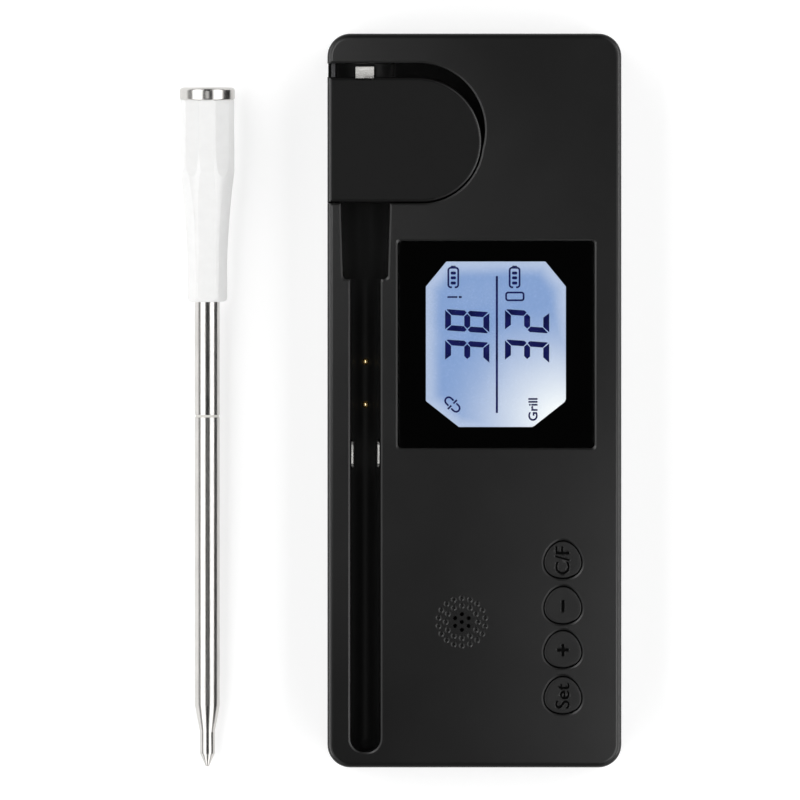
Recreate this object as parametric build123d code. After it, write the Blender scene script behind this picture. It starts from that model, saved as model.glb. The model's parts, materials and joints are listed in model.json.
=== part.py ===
from build123d import *
import os
from math import atan2, cos, degrees, radians, sin

# Wireless meat thermometer: a cordless probe, and the charging dock that shows its temperatures.
# The dock lies on its back with its face up. The probe lies beside it on the same surface.
# Millimetres. Origin: the middle of the dock's rest pad. +Z is up, out of the dock's face,
# and +Y runs along the dock from its socket end to its cover end.

# ---------------------------------------------------------------- dock casing
DOCK_W = 58.8            # X
DOCK_L = 146.8           # Y
FACE_Z = 18.0            # the outside of the face
SPLIT_Z = 5.0            # where the two shells meet
BACK_Z = 0.6             # the outside of the back; the rest pad stands proud of it
CORNER_R = 4.6
FACE_EDGE_R = 1.1
BACK_EDGE_R = 1.5
WALL = 1.8
FACE_T = 2.0
SEAM_CHAMFER = 0.2
EASE_DEEP = 0.26         # the eased edge round each opening in the face: how deep it reaches,
EASE_STEEP = (0.08, 0.13)    # how far out and how deep its steep lower part ends,
EASE_WIDE = 0.42         # and how far out its gentle upper part runs

SIDE_X = DOCK_W / 2
END_Y = DOCK_L / 2
UNDER_FACE_Z = FACE_Z - FACE_T
FLOOR_Z = BACK_Z + WALL

# ---------------------------------------------------------------- probe
CAP_R = 5.56
CAP_L = 2.5
CAP_TOP_Y = 62.8
HANDLE_R = 5.45
HANDLE_END_R = 4.0
HANDLE_END_Y = 19.8
STEM_R = 2.5
STEM_END_Y = -61.2       # where the taper starts
TIP_NECK_R = 1.5
TIP_NECK_Y = -66.5
TIP_CONE_Y = -70.8
TIP_R = 0.35
TIP_Y = -73.4
SEAM_Y = -3.1            # the insulating ring in the stem
SEAM_HALF = 0.25         # half its width
SEAM_DEEP = 0.16         # how far it lies below the steel
PROBE_X = -53.5          # where the probe lies beside the dock
STEM_WALL = 0.4
LIE_GAP = 0.02            # keeps the probe just clear of the surface

CAP_BASE_Y = CAP_TOP_Y - CAP_L
SHOULDER_Y = 46.1        # below this the handle narrows

# ---------------------------------------------------------------- probe channel
CHANNEL_X = -21.8
AXIS_Z = 10.4            # height of the probe's axis when it is in its channel
NARROW_R = 3.0           # half the width round the stem
NARROW_END_Y = -70.3
STEP_Y = 24.35
WIDE_R = 4.45            # half the width at the step
WIDE_TOP_R = 4.9         # half the width where the cover begins
CAP_ROOM_R = 5.95        # half the width under the cover
CAP_ROOM_Y = 51.0
TRAY_WALL = 1.2

# ---------------------------------------------------------------- handle cover
COVER_Y0 = 39.6
COVER_Y1 = 64.7
COVER_SIDE_T = 1.5
COVER_TOP_R = 13.0
COVER_LOW_R = COVER_Y1 - COVER_Y0 - COVER_TOP_R
COVER_TIP_X = 1.5
COVER_GAP = 0.15
OPEN_Y1 = 67.5           # top edge of the opening: the finger gap is above the cover
OPEN_R = 13.4
OPEN_TIP_X = 2.1
HINGE_R = 1.6
HINGE_PIN_R = 0.8
RUNNING_GAP = 0.05
HINGE_X = -SIDE_X + HINGE_R
HINGE_Z = 3.4
POCKET_Z = 11.5          # floor of the finger pocket
NOTCH_D = 0.55            # the notch in the cover's edge, over the leaf
LEAF_X0 = -23.8
LEAF_X1 = -20.1
COVER_EDGE_R = 0.7

# ---------------------------------------------------------------- display
LENS_X0 = -15.2
LENS_X1 = 23.9
LENS_Y0 = -9.4
LENS_Y1 = 31.8
LENS_T = 1.1
LENS_SUNK = 0.05
MASK_T = 0.15
LENS_GAP = 0.1
LENS_CORNER_R = 0.8
LIT_X0 = -9.7
LIT_X1 = 18.3
LIT_Y0 = -5.3
LIT_Y1 = 27.8
LIT_TOP_CUT = (4.1, 5.0)     # how much each corner loses: along X, along Y
LIT_LOW_CUT = (6.6, 5.2)
LIT_SOFT_R = 1.2         # the two soft corners, next to the lamp

# ---------------------------------------------------------------- board, buttons, buzzer
BOARD_Z = 12.0           # its front
BOARD_T = 1.6
BOARD_X0 = -14.5
BOARD_X1 = 26.5
BOARD_Y0 = -67.0
BOARD_Y1 = 36.5
BUTTON_X = 17.7
BUTTON_YS = {"set": -59.1, "plus": -49.9, "minus": -41.1, "cf": -32.0}
BUTTON_R = 3.58
BUTTON_LOBE = 0.16       # how far the three lobes of the pebble outline stand out
BUTTON_GAP = 0.25
BUTTON_PROUD = 0.25
FLANGE_Z0 = 14.9         # the flange behind each button
FLANGE_Z1 = 15.8
SWITCH_Z = 13.7          # top of each switch, just below a pressed button
GRILLE = (-2.5, -44.3)
GRILLE_RINGS = [(0.0, 1), (1.56, 6), (3.24, 12), (4.74, 18)]
GRILLE_OPEN_RINGS = 2    # the inner rings go through, the outer ones are dimples
GRILLE_R = 0.4
DIMPLE_R = 0.34          # each dimple is a small blind pit
DIMPLE_D = 0.45
DIMPLE_RIM_R = 0.6       # with a wide shallow countersink round it
DIMPLE_RIM_D = 0.1

# ---------------------------------------------------------------- fasteners and mounts
CASE_SCREWS = [(-24.2, 70.6), (25.0, 69.2), (25.0, -69.2), (-13.2, -69.2), (-11.6, -16.0)]
BOARD_SCREWS = [(-12.0, 34.4), (24.2, 34.4), (24.2, -64.4), (-11.6, -64.4)]
SCREW_R = 0.8
SCREW_HOLE_R = 0.85
SCREW_HEAD_R = 1.7
BOSS_R = 1.9
PINS_Y = [7.8, -0.8]      # the contact pins under the stem
PIN_R = 0.4
PIN_TOP_Z = 8.3
PISTON_R = 0.55
BARREL_R = 0.68
BARREL_TOP_Z = 6.8
NECK_Z = 6.4             # where the barrel's bore narrows and stops the piston
SEAT_Z = 5.9             # underside of the tray's thick places
CLIP_Y0 = -13.5
CLIP_Y1 = -8.0
CLIP_T = 0.35
CLIP_Z = SEAT_Z - CLIP_T    # the clip's base lies under the tray, and its arms come up through it
CLIP_IN_X = 2.55         # half the room between the clip's arms
CLIP_OUT_X = CLIP_IN_X + CLIP_T
CLIP_LIP_X = 2.22        # half the gap between its lips
LEAF_Y = 57.0            # where the leaf's pocket starts
LEAF_Z = 4.3
LEAF_T = 0.25
RIVET_R = 0.5
RIVETS = [(CHANNEL_X, 59.4, LEAF_Z), (CHANNEL_X, (CLIP_Y0 + CLIP_Y1) / 2, CLIP_Z)]
RIVET_REACH = [(3.0, LEAF_Z + LEAF_T), (CLIP_Z, 7.0)]    # the lower and upper end of each shank
CATCH = (-5.0, 52.2)     # the magnet in the cover and the plate below it
MAGNET_R = 2.0
CATCH_PLATE_T = 0.6
USB = (8.94, 3.26, 7.3)  # the charging socket: width, height, depth
USB_X = 5.0
PAD_X = 24.0
PAD_Y = 62.0
PAD_SUNK = 0.4


# ================================================================ helpers
def block(x0, x1, y0, y1, z0, z1):
    """A box between two corners."""
    size = (x1 - x0, y1 - y0, z1 - z0)
    return Pos((x0 + x1) / 2, (y0 + y1) / 2, (z0 + z1) / 2) * Box(*size)


def rod(x, y, z0, z1, r):
    """An upright cylinder."""
    return Pos(x, y, (z0 + z1) / 2) * Cylinder(r, z1 - z0)


def lying_rod(x, z, y0, y1, r):
    """A cylinder along Y."""
    return Pos(x, (y0 + y1) / 2, z) * Rot(90, 0, 0) * Cylinder(r, y1 - y0)


def prism(sketch, z0, z1):
    """A flat outline raised from z0 to z1."""
    return Pos(0, 0, z0) * extrude(sketch, z1 - z0)


def rounded_rect(x0, x1, y0, y1, r):
    """A rectangle with rounded corners, as an outline."""
    return Pos((x0 + x1) / 2, (y0 + y1) / 2) * RectangleRounded(x1 - x0, y1 - y0, r)


def disc(x, y, r):
    """A round outline."""
    return Pos(x, y) * Circle(r)


def outline(points):
    """A closed outline with straight sides."""
    return make_face(Polyline(*points, close=True))


def box_outline(x0, x1, y0, y1):
    """A square-cornered outline."""
    return outline([(x0, y0), (x1, y0), (x1, y1), (x0, y1)])


def turned(profile):
    """A piece turned about the Y axis from (radius, y) points."""
    return revolve(outline(profile), Axis.Y, 360)


def save(name, *solids):
    """Write one sub-part. Several solids stay separate bodies in one file."""
    shape = solids[0] if len(solids) == 1 else Compound(children=list(solids))
    shape.label = name
    export_step(shape, f"parts/{name}.step")


def joined(shapes):
    """All the shapes as one tool for a cut or a join."""
    total = shapes[0]
    for shape in shapes[1:]:
        total = total + shape
    return total


# ================================================================ shared outlines
def cover_outline(grow):
    """The D-shaped cover, seen from the front. A positive grow makes it larger."""
    low_x = COVER_TIP_X - COVER_LOW_R
    top_x = COVER_TIP_X - COVER_TOP_R
    y0 = COVER_Y0 - grow
    y1 = COVER_Y1 + grow
    tip = (COVER_TIP_X + grow, COVER_Y0 + COVER_LOW_R)
    return make_face([
        Line((-SIDE_X, y0), (low_x, y0)),
        TangentArc((low_x, y0), tip, tangent=(1, 0)),
        TangentArc(tip, (top_x, y1), tangent=(0, 1)),
        Polyline((top_x, y1), (-SIDE_X, y1), (-SIDE_X, y0)),
    ])


def opening_outline(grow):
    """The opening round the cover: the cover's own outline and the finger gap above it."""
    centre_x = OPEN_TIP_X - OPEN_R
    centre_y = OPEN_Y1 - OPEN_R
    round_end = disc(centre_x, centre_y, OPEN_R + grow)
    straight = box_outline(-SIDE_X, centre_x, COVER_Y0 + COVER_LOW_R, OPEN_Y1 + grow)
    above = box_outline(-SIDE_X, SIDE_X, COVER_Y0, END_Y)
    return cover_outline(COVER_GAP + grow) + ((round_end + straight) & above)


def channel_outline(grow, top_y):
    """The probe channel about its own axis: narrow at the stem, wide at the handle."""
    points = [
        (-NARROW_R - grow, NARROW_END_Y - grow),
        (NARROW_R + grow, NARROW_END_Y - grow),
        (NARROW_R + grow, STEP_Y - grow),
        (WIDE_R + grow, STEP_Y - grow),
        (WIDE_TOP_R + grow, COVER_Y0),
    ]
    if top_y > CAP_ROOM_Y:
        points += [(CAP_ROOM_R + grow, CAP_ROOM_Y), (CAP_ROOM_R + grow, top_y + grow)]
    else:
        points += [(WIDE_TOP_R + grow, top_y)]
    left = [(-x, y) for x, y in reversed(points[2:])]
    face = outline(points + left)
    ends = face.vertices().sort_by(Axis.Y)[:2]
    return fillet(ends, NARROW_R + grow - 0.3)


def trough(grow, top_z):
    """The channel as a solid: half round below the probe's axis and open above it."""
    plan = channel_outline(grow, OPEN_Y1)
    half = plan & box_outline(0, CAP_ROOM_R + grow + 1, -END_Y, END_Y)
    bowl = revolve(half, Axis.Y, 360)
    walls = prism(plan, 0, top_z - AXIS_Z)
    low = bowl & block(-SIDE_X, SIDE_X, -END_Y, END_Y, -SIDE_X, 0)
    return Pos(CHANNEL_X, 0, AXIS_Z) * (low + walls)


def slot_outline(grow):
    """The channel's outline where it comes through the face, with its corners eased."""
    plan = channel_outline(grow, COVER_Y0 + 1)
    step = [v for v in plan.vertices() if abs(v.Y - STEP_Y + grow) < 0.01]
    outer = [v for v in step if abs(v.X) > WIDE_R + grow - 0.1]
    inner = [v for v in step if abs(v.X) < WIDE_R + grow - 0.1]
    plan = fillet(outer, 0.9)
    keep = [v for v in plan.vertices() for w in inner if (v.center() - w.center()).length < 0.01]
    return fillet(keep, 0.4)


def lens_seat(grow):
    """The outline of the recess that the window sits in."""
    g = LENS_GAP + grow
    return rounded_rect(LENS_X0 - g, LENS_X1 + g, LENS_Y0 - g, LENS_Y1 + g, LENS_CORNER_R)


def button_hole(grow):
    """The outline of the hole round a button."""
    return pebble(BUTTON_R + BUTTON_GAP + grow)


def pebble(r):
    """A button's outline: nearly round, with three soft lobes."""
    points = []
    for step in range(12):
        angle = radians(step * 30)
        radius = r + BUTTON_LOBE * cos(3 * (angle - radians(90)))
        points.append((radius * cos(angle), radius * sin(angle)))
    return make_face(Spline(*points, periodic=True))


def lit_outline():
    """The eight-sided lit area of the display."""
    top_x, top_y = LIT_TOP_CUT
    low_x, low_y = LIT_LOW_CUT
    lit = outline([
        (LIT_X0 + low_x, LIT_Y0),
        (LIT_X1 - low_x, LIT_Y0),
        (LIT_X1, LIT_Y0 + low_y),
        (LIT_X1, LIT_Y1 - top_y),
        (LIT_X1 - top_x, LIT_Y1),
        (LIT_X0 + top_x, LIT_Y1),
        (LIT_X0, LIT_Y1 - top_y),
        (LIT_X0, LIT_Y0 + low_y),
    ])
    near_lamp = [v for v in lit.vertices() if v.X > LIT_X1 - low_x - 0.1 and v.Y < LIT_Y0 + low_y + 0.1]
    return fillet(near_lamp, LIT_SOFT_R)


# ================================================================ casing
def front_shell():
    """Face and side walls in one moulding, with every opening in the face."""
    inner_x = SIDE_X - WALL
    inner_y = END_Y - WALL
    shell = prism(rounded_rect(-SIDE_X, SIDE_X, -END_Y, END_Y, CORNER_R), SPLIT_Z, FACE_Z)
    shell = fillet(shell.faces().sort_by(Axis.Z)[-1].edges(), FACE_EDGE_R)
    shell = chamfer(shell.faces().sort_by(Axis.Z)[0].edges(), SEAM_CHAMFER)
    room = rounded_rect(-inner_x, inner_x, -inner_y, inner_y, CORNER_R - WALL)
    shell -= prism(room, SPLIT_Z, UNDER_FACE_Z)
    bosses = [rod(x, y, SPLIT_Z, UNDER_FACE_Z, BOSS_R) for x, y in CASE_SCREWS]
    bosses += [rod(x, y, BOARD_Z, UNDER_FACE_Z, BOSS_R) for x, y in BOARD_SCREWS]
    shell += joined(bosses)

    through = UNDER_FACE_Z - 1
    above = FACE_Z + 1
    shell -= prism(opening_outline(0), through, above)
    shell -= block(-SIDE_X - 1, -inner_x, COVER_Y0 - COVER_GAP, OPEN_Y1, SPLIT_Z, above)
    shell -= Pos(CHANNEL_X, 0) * prism(slot_outline(0), through, above)
    seat_z = FACE_Z - LENS_SUNK - LENS_T - MASK_T
    shell -= prism(lens_seat(0), seat_z, above)
    shell -= block(LENS_X0 + 3.4, LENS_X1 - 3.4, LENS_Y0 + 2.2, LENS_Y1 - 2.2, through, above)
    shell -= bevel(opening_outline) + bevel(slot_outline, CHANNEL_X) + bevel(lens_seat)
    for y in BUTTON_YS.values():
        shell -= Pos(BUTTON_X, y) * prism(button_hole(0), through, above)
        shell -= bevel(button_hole, BUTTON_X, y)
    shell -= grille_holes()
    holes = [rod(x, y, SPLIT_Z - 1, UNDER_FACE_Z - 1, SCREW_HOLE_R) for x, y in CASE_SCREWS]
    holes += [rod(x, y, BOARD_Z - 1, UNDER_FACE_Z - 1, SCREW_HOLE_R) for x, y in BOARD_SCREWS]
    shell -= joined(holes)
    shell -= usb_hole(0.25)
    return shell


def bevel(make_outline, x=0.0, y=0.0):
    """A cutter that eases the face's edge round an opening: steep at first, then gentle."""
    over = 0.05
    steep_out, steep_deep = EASE_STEEP
    flare = (EASE_WIDE - steep_out) / steep_deep
    low = Pos(x, y, FACE_Z - EASE_DEEP) * make_outline(0)
    middle = Pos(x, y, FACE_Z - steep_deep) * make_outline(steep_out)
    high = Pos(x, y, FACE_Z + over) * make_outline(EASE_WIDE + over * flare)
    return loft([low, middle], ruled=True) + loft([middle, high], ruled=True)


def grille_holes():
    """Sound holes in rings: open ones in the middle and shallow dimples round them."""
    cuts = []
    for index, (ring_r, count) in enumerate(GRILLE_RINGS):
        for step in range(count):
            angle = radians(90 + step * 360 / count)
            x = GRILLE[0] + ring_r * cos(angle)
            y = GRILLE[1] + ring_r * sin(angle)
            if index < GRILLE_OPEN_RINGS:
                cuts.append(rod(x, y, UNDER_FACE_Z - 1, FACE_Z + 1, GRILLE_R))
            else:
                pit = Cone(DIMPLE_R * 0.8, DIMPLE_R, DIMPLE_D)
                rim = Cone(DIMPLE_R, DIMPLE_RIM_R, DIMPLE_RIM_D)
                cuts.append(Pos(x, y, FACE_Z - DIMPLE_D / 2) * pit + Pos(x, y, FACE_Z - DIMPLE_RIM_D / 2) * rim)
    return cuts


def usb_hole(gap):
    """The way through the end wall to the charging socket."""
    width, height, depth = USB
    face = RectangleRounded(width + 2 * gap, height + 2 * gap, height / 2 + gap - 0.01)
    hole = extrude(Plane.XZ * face, depth / 2, both=True)
    return Pos(USB_X, -END_Y, BOARD_Z - BOARD_T - height / 2) * hole


def rear_shell():
    """The back, with a recess for the rest pad and lugs that hold the hinge pin."""
    inner_x = SIDE_X - WALL
    inner_y = END_Y - WALL
    shell = prism(rounded_rect(-SIDE_X, SIDE_X, -END_Y, END_Y, CORNER_R), BACK_Z, SPLIT_Z)
    shell = fillet(shell.faces().sort_by(Axis.Z)[0].edges(), BACK_EDGE_R)
    shell = chamfer(shell.faces().sort_by(Axis.Z)[-1].edges(), SEAM_CHAMFER)
    room = rounded_rect(-inner_x, inner_x, -inner_y, inner_y, CORNER_R - WALL)
    shell -= prism(room, FLOOR_Z, SPLIT_Z)
    notch_x = HINGE_X + HINGE_R + 0.3
    lug_x = HINGE_X + HINGE_PIN_R + 0.45
    lugs = box_outline(-SIDE_X, lug_x, COVER_Y0 - 3.2, OPEN_Y1 + 3.0)
    lugs = lugs & rounded_rect(-SIDE_X + 0.5, SIDE_X, -END_Y, END_Y - 0.5, CORNER_R)
    shell += prism(lugs, FLOOR_Z, SPLIT_Z)
    notch_z = HINGE_Z - HINGE_R - 0.3
    notch_top = SPLIT_Z + 1
    shell -= block(-SIDE_X - 1, notch_x, COVER_Y0 - COVER_GAP, OPEN_Y1, notch_z, notch_top)
    shell -= lying_rod(HINGE_X, HINGE_Z, COVER_Y0 - 2.6, OPEN_Y1 + 2.4, HINGE_PIN_R)
    posts = [rod(x, y, FLOOR_Z, SPLIT_Z, BOSS_R) for x, y in CASE_SCREWS]
    shell += joined(posts)
    for x, y in CASE_SCREWS:
        shell -= rod(x, y, 0, SPLIT_Z + 1, SCREW_HOLE_R)
        shell -= rod(x, y, 0, BACK_Z + 1.4, SCREW_HEAD_R + 0.1)
    shell -= prism(rounded_rect(-PAD_X, PAD_X, -PAD_Y, PAD_Y, 4), 0, BACK_Z + PAD_SUNK)
    return shell


def rest_pad():
    """A soft pad let into the back. The dock stands on it."""
    pad = prism(rounded_rect(-PAD_X, PAD_X, -PAD_Y, PAD_Y, 4), 0, BACK_Z + PAD_SUNK)
    return chamfer(pad.faces().sort_by(Axis.Z)[0].edges(), 0.25)


def case_screws():
    """Screws put in from the back, with a crosswise slot each."""
    made = []
    for x, y in CASE_SCREWS:
        head = rod(x, y, BACK_Z + PAD_SUNK + 0.05, BACK_Z + 1.4, SCREW_HEAD_R)
        shank = rod(x, y, BACK_Z + 1.4, 12.5, SCREW_R)
        slot = block(x - 1.2, x + 1.2, y - 0.25, y + 0.25, 0, BACK_Z + 0.9)
        cross = block(x - 0.25, x + 0.25, y - 1.2, y + 1.2, 0, BACK_Z + 0.9)
        made.append(head + shank - slot - cross)
    return made


# ================================================================ probe tray
def probe_tray():
    """The moulded trough that the probe lies in, and the finger pocket beside its cap."""
    pocket = prism(opening_outline(TRAY_WALL), POCKET_Z - TRAY_WALL, UNDER_FACE_Z)
    tray = trough(TRAY_WALL, UNDER_FACE_Z) + pocket
    seat_r = NARROW_R + TRAY_WALL
    for y0, y1 in ((CLIP_Y0 - 1.2, CLIP_Y1 + 1.2), (PINS_Y[1] - 3.2, PINS_Y[0] + 3.2)):
        tray += block(CHANNEL_X - seat_r, CHANNEL_X + seat_r, y0, y1, SEAT_Z, AXIS_Z)
    tray -= prism(opening_outline(0), POCKET_Z, UNDER_FACE_Z + 1)
    tray -= trough(0, UNDER_FACE_Z + 1)
    tray -= block(-SIDE_X, -SIDE_X + WALL + 0.05, -END_Y, END_Y, 0, FACE_Z)
    clip_y0 = CLIP_Y0 - 0.05
    clip_y1 = CLIP_Y1 + 0.05
    for slot_x in (CHANNEL_X - CLIP_OUT_X - 0.05, CHANNEL_X + CLIP_IN_X - 0.05):
        tray -= block(slot_x, slot_x + CLIP_T + 0.1, clip_y0, clip_y1, SEAT_Z - 1, AXIS_Z)
    tray -= block(LEAF_X0 - 0.15, LEAF_X1 + 0.15, LEAF_Y, OPEN_Y1, LEAF_Z, AXIS_Z)
    for y in PINS_Y:
        tray -= rod(CHANNEL_X, y, SEAT_Z - 1, AXIS_Z, BARREL_R + 0.02)
    for (x, y, z), (z0, z1) in zip(RIVETS, RIVET_REACH):
        tray -= rod(x, y, z0 - 1, z1 + 0.05, RIVET_R + 0.02)
    tray -= rod(*CATCH, POCKET_Z - CATCH_PLATE_T, POCKET_Z + 1, MAGNET_R + 0.55)
    return tray


def cap_contact():
    """The charging leaf that presses on the probe's cap from below."""
    lower = [(LEAF_Y + 0.3, LEAF_Z), (62.2, LEAF_Z), (64.6, 5.0), (66.9, 5.0)]
    upper = [(y, z + LEAF_T) for y, z in reversed(lower)]
    side = Plane.YZ * outline(lower + upper)
    half_w = (LEAF_X1 - LEAF_X0) / 2
    leaf = Pos((LEAF_X0 + LEAF_X1) / 2, 0, 0) * extrude(side, half_w, both=True)
    x, y, z = RIVETS[0]
    return leaf - rod(x, y, z - 1, z + 1, RIVET_R + 0.02)


def stem_clip():
    """A sheet-metal clip whose arms close over the stem."""
    base_top = CLIP_Z + CLIP_T
    bend_z = 11.5
    lip_z = 12.6
    end_z = 13.6
    flare_x = CLIP_LIP_X + 0.23
    inner = [(CLIP_IN_X, base_top), (CLIP_IN_X, bend_z), (CLIP_LIP_X, lip_z), (flare_x, end_z)]
    outer = [(CLIP_OUT_X, CLIP_Z), (CLIP_OUT_X, bend_z + 0.05), (CLIP_LIP_X + CLIP_T, lip_z),
             (flare_x + CLIP_T, end_z)]
    right = inner + list(reversed(outer))
    left = [(-x, z) for x, z in right]
    base = box_outline(-CLIP_OUT_X, CLIP_OUT_X, CLIP_Z, base_top)
    section = base + outline(right) + outline(left)
    clip = extrude(Plane.XZ * section, (CLIP_Y1 - CLIP_Y0) / 2, both=True)
    arm_ends = (clip.edges() | Axis.X).filter_by_position(Axis.Z, end_z - 0.1, end_z + 0.1)
    clip = fillet(arm_ends, 0.9)
    x, y, z = RIVETS[1]
    return Pos(x, y, 0) * clip - rod(x, y, z - 1, z + 1, RIVET_R + 0.02)


def tray_rivets():
    """The rivets that hold the leaf to the top of the tray and the clip to its underside."""
    made = []
    for (x, y, z), (z0, z1), head_z in zip(RIVETS, RIVET_REACH, (LEAF_Z + LEAF_T, CLIP_Z - 0.15)):
        shank = rod(x, y, z0, z1, RIVET_R)
        head = rod(x, y, head_z, head_z + 0.15, RIVET_R + 0.45)
        made.append(shank + head)
    return made


def pogo_block():
    """The insulating block that holds the two contact barrels under the tray."""
    x0 = CHANNEL_X - 3.2
    x1 = CHANNEL_X + 3.2
    body = block(x0, x1, PINS_Y[1] - 2.4, PINS_Y[0] + 2.4, FLOOR_Z + 0.4, SEAT_Z)
    for y in PINS_Y:
        body -= rod(CHANNEL_X, y, 2, 7, BARREL_R + 0.02)
    return body


def pogo_barrels():
    """Two plated barrels, each with a bore for its spring and plunger."""
    made = []
    for y in PINS_Y:
        barrel = rod(CHANNEL_X, y, FLOOR_Z + 0.4, BARREL_TOP_Z, BARREL_R)
        barrel -= rod(CHANNEL_X, y, FLOOR_Z + 0.9, NECK_Z, PISTON_R + RUNNING_GAP)
        barrel -= rod(CHANNEL_X, y, NECK_Z, 7, PIN_R + 0.04)
        made.append(barrel)
    return made


def pogo_tip(y):
    """One sprung contact pin with a domed end, and the piston that keeps it in its barrel."""
    dome_z = PIN_TOP_Z - PIN_R
    shaft = rod(CHANNEL_X, y, 5.5, dome_z, PIN_R)
    piston = rod(CHANNEL_X, y, 5.2, NECK_Z - 0.1, PISTON_R)
    dome = Pos(CHANNEL_X, y, dome_z) * Sphere(PIN_R)
    return shaft + piston + dome


# ================================================================ handle cover
def handle_cover():
    """The D-shaped lid over the probe's cap. Its side wall hinges at the back edge."""
    top = block(-SIDE_X, COVER_TIP_X, COVER_Y0, COVER_Y1, UNDER_FACE_Z, FACE_Z)
    side = block(-SIDE_X, -SIDE_X + COVER_SIDE_T, COVER_Y0, COVER_Y1, HINGE_Z, FACE_Z)
    body = top + side
    corner = body.edges().filter_by(Axis.Y).sort_by(lambda e: e.center().Z - e.center().X)[-1]
    body = fillet(corner, FACE_EDGE_R)
    round_plan = prism(cover_outline(0), 0, FACE_Z)
    rim = [e for e in round_plan.faces().sort_by(Axis.Z)[-1].edges()
           if e.center().X > -SIDE_X + 0.1]
    body = body & fillet(rim, COVER_EDGE_R)
    body -= block(LEAF_X0, LEAF_X1, COVER_Y1 - NOTCH_D, END_Y, UNDER_FACE_Z - 1, FACE_Z + 1)
    body += lying_rod(HINGE_X, HINGE_Z, COVER_Y0, COVER_Y1, HINGE_R)
    body += rod(*CATCH, 14.0, UNDER_FACE_Z, 2.9)
    body -= rod(*CATCH, 12, 15.3, MAGNET_R + 0.05)
    body -= lying_rod(HINGE_X, HINGE_Z, COVER_Y0 - 1, COVER_Y1 + 1, HINGE_PIN_R + RUNNING_GAP)
    return body


def hinge_pin():
    """The steel pin that the cover turns on."""
    return lying_rod(HINGE_X, HINGE_Z, COVER_Y0 - 2.5, OPEN_Y1 + 2.3, HINGE_PIN_R - 0.02)


def cover_magnet():
    """A small magnet in the cover. It holds the cover shut."""
    return rod(*CATCH, 13.6, 15.3, MAGNET_R)


def catch_plate():
    """The steel disc in the finger pocket that the magnet pulls on."""
    return rod(*CATCH, POCKET_Z - CATCH_PLATE_T, POCKET_Z, MAGNET_R + 0.5)


# ================================================================ display
def display_lens():
    """The clear window, flush with the face."""
    plan = rounded_rect(LENS_X0, LENS_X1, LENS_Y0, LENS_Y1, LENS_CORNER_R)
    top_z = FACE_Z - LENS_SUNK
    lens = prism(plan, top_z - LENS_T, top_z)
    return chamfer(lens.faces().sort_by(Axis.Z)[-1].edges(), 0.2)


def lens_mask():
    """The black film behind the window, cut out over the lit area."""
    plan = rounded_rect(LENS_X0, LENS_X1, LENS_Y0, LENS_Y1, LENS_CORNER_R)
    top_z = FACE_Z - LENS_SUNK - LENS_T
    return prism(plan - lit_outline(), top_z - MASK_T, top_z)


def lcd_glass():
    """The two glass plates of the display."""
    return block(LENS_X0 + 2.6, LENS_X1 - 2.6, LENS_Y0 + 1.2, LENS_Y1 - 1.2, 14.3, 15.9)


def backlight_panel():
    """The light guide behind the glass."""
    return block(LENS_X0 + 2.8, LENS_X1 - 2.8, LENS_Y0 + 4.0, LENS_Y1 - 4.0, 12.2, 14.3)


def zebra_strips():
    """Two rubber strips that join the glass to the board."""
    x0 = LENS_X0 + 3
    x1 = LENS_X1 - 3
    low = block(x0, x1, LENS_Y0 + 1.8, LENS_Y0 + 3.6, BOARD_Z, 14.3)
    high = block(x0, x1, LENS_Y1 - 3.6, LENS_Y1 - 1.8, BOARD_Z, 14.3)
    return [low, high]


def lcd_frame():
    """The frame that holds glass, light guide and strips on the board."""
    outside = block(LENS_X0 + 1.2, LENS_X1 - 1.2, LENS_Y0 - 0.2, LENS_Y1 + 0.2, BOARD_Z, 15.9)
    inside = block(LENS_X0 + 2.5, LENS_X1 - 2.5, LENS_Y0 + 1.1, LENS_Y1 - 1.1, 11, 17)
    return outside - inside


# ================================================================ electronics
def main_board():
    """The circuit board, with holes for its screws and the middle case post."""
    plan = box_outline(BOARD_X0, BOARD_X1, BOARD_Y0, BOARD_Y1)
    plan += box_outline(USB_X - 8, USB_X + 8, -END_Y + WALL + 0.3, BOARD_Y0 + 1)
    for x, y in CASE_SCREWS:
        plan -= disc(x, y, BOSS_R + 0.4)
    for x, y in BOARD_SCREWS:
        plan -= disc(x, y, SCREW_R + 0.2)
    return prism(plan, BOARD_Z - BOARD_T, BOARD_Z)


def board_screws():
    """Screws from behind the board into the face's posts."""
    under = BOARD_Z - BOARD_T
    return [rod(x, y, under - 1.1, under, 1.6) + rod(x, y, under, 14.6, SCREW_R)
            for x, y in BOARD_SCREWS]


def button(y):
    """One push button: a pebble-shaped key with a flange behind the face and a stem."""
    top_z = FACE_Z + BUTTON_PROUD
    key = Pos(BUTTON_X, y) * prism(pebble(BUTTON_R), UNDER_FACE_Z - 0.5, top_z)
    key = fillet(key.faces().sort_by(Axis.Z)[-1].edges(), 0.5)
    flange = Pos(BUTTON_X, y) * prism(pebble(BUTTON_R + 0.8), FLANGE_Z0, FLANGE_Z1)
    return key + flange + rod(BUTTON_X, y, FLANGE_Z0 - 0.5, FLANGE_Z0 + 0.1, 1.4)


def tact_switches():
    """The four switches on the board behind the buttons."""
    made = []
    for y in BUTTON_YS.values():
        body = block(BUTTON_X - 2.3, BUTTON_X + 2.3, y - 2.3, y + 2.3, BOARD_Z, 13.2)
        made.append(body + rod(BUTTON_X, y, 13.2, SWITCH_Z, 1.1))
    return made


def buzzer():
    """The sounder on the board behind the grille."""
    x, y = GRILLE
    return rod(x, y, BOARD_Z, 15.2, 6.0) - rod(x, y, 14.6, 16, 1.0)


def buzzer_gasket():
    """The foam ring that seals the sounder to the face."""
    x, y = GRILLE
    return rod(x, y, 15.2, 15.95, 6.0) - rod(x, y, 15, 17, 5.2)


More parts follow.
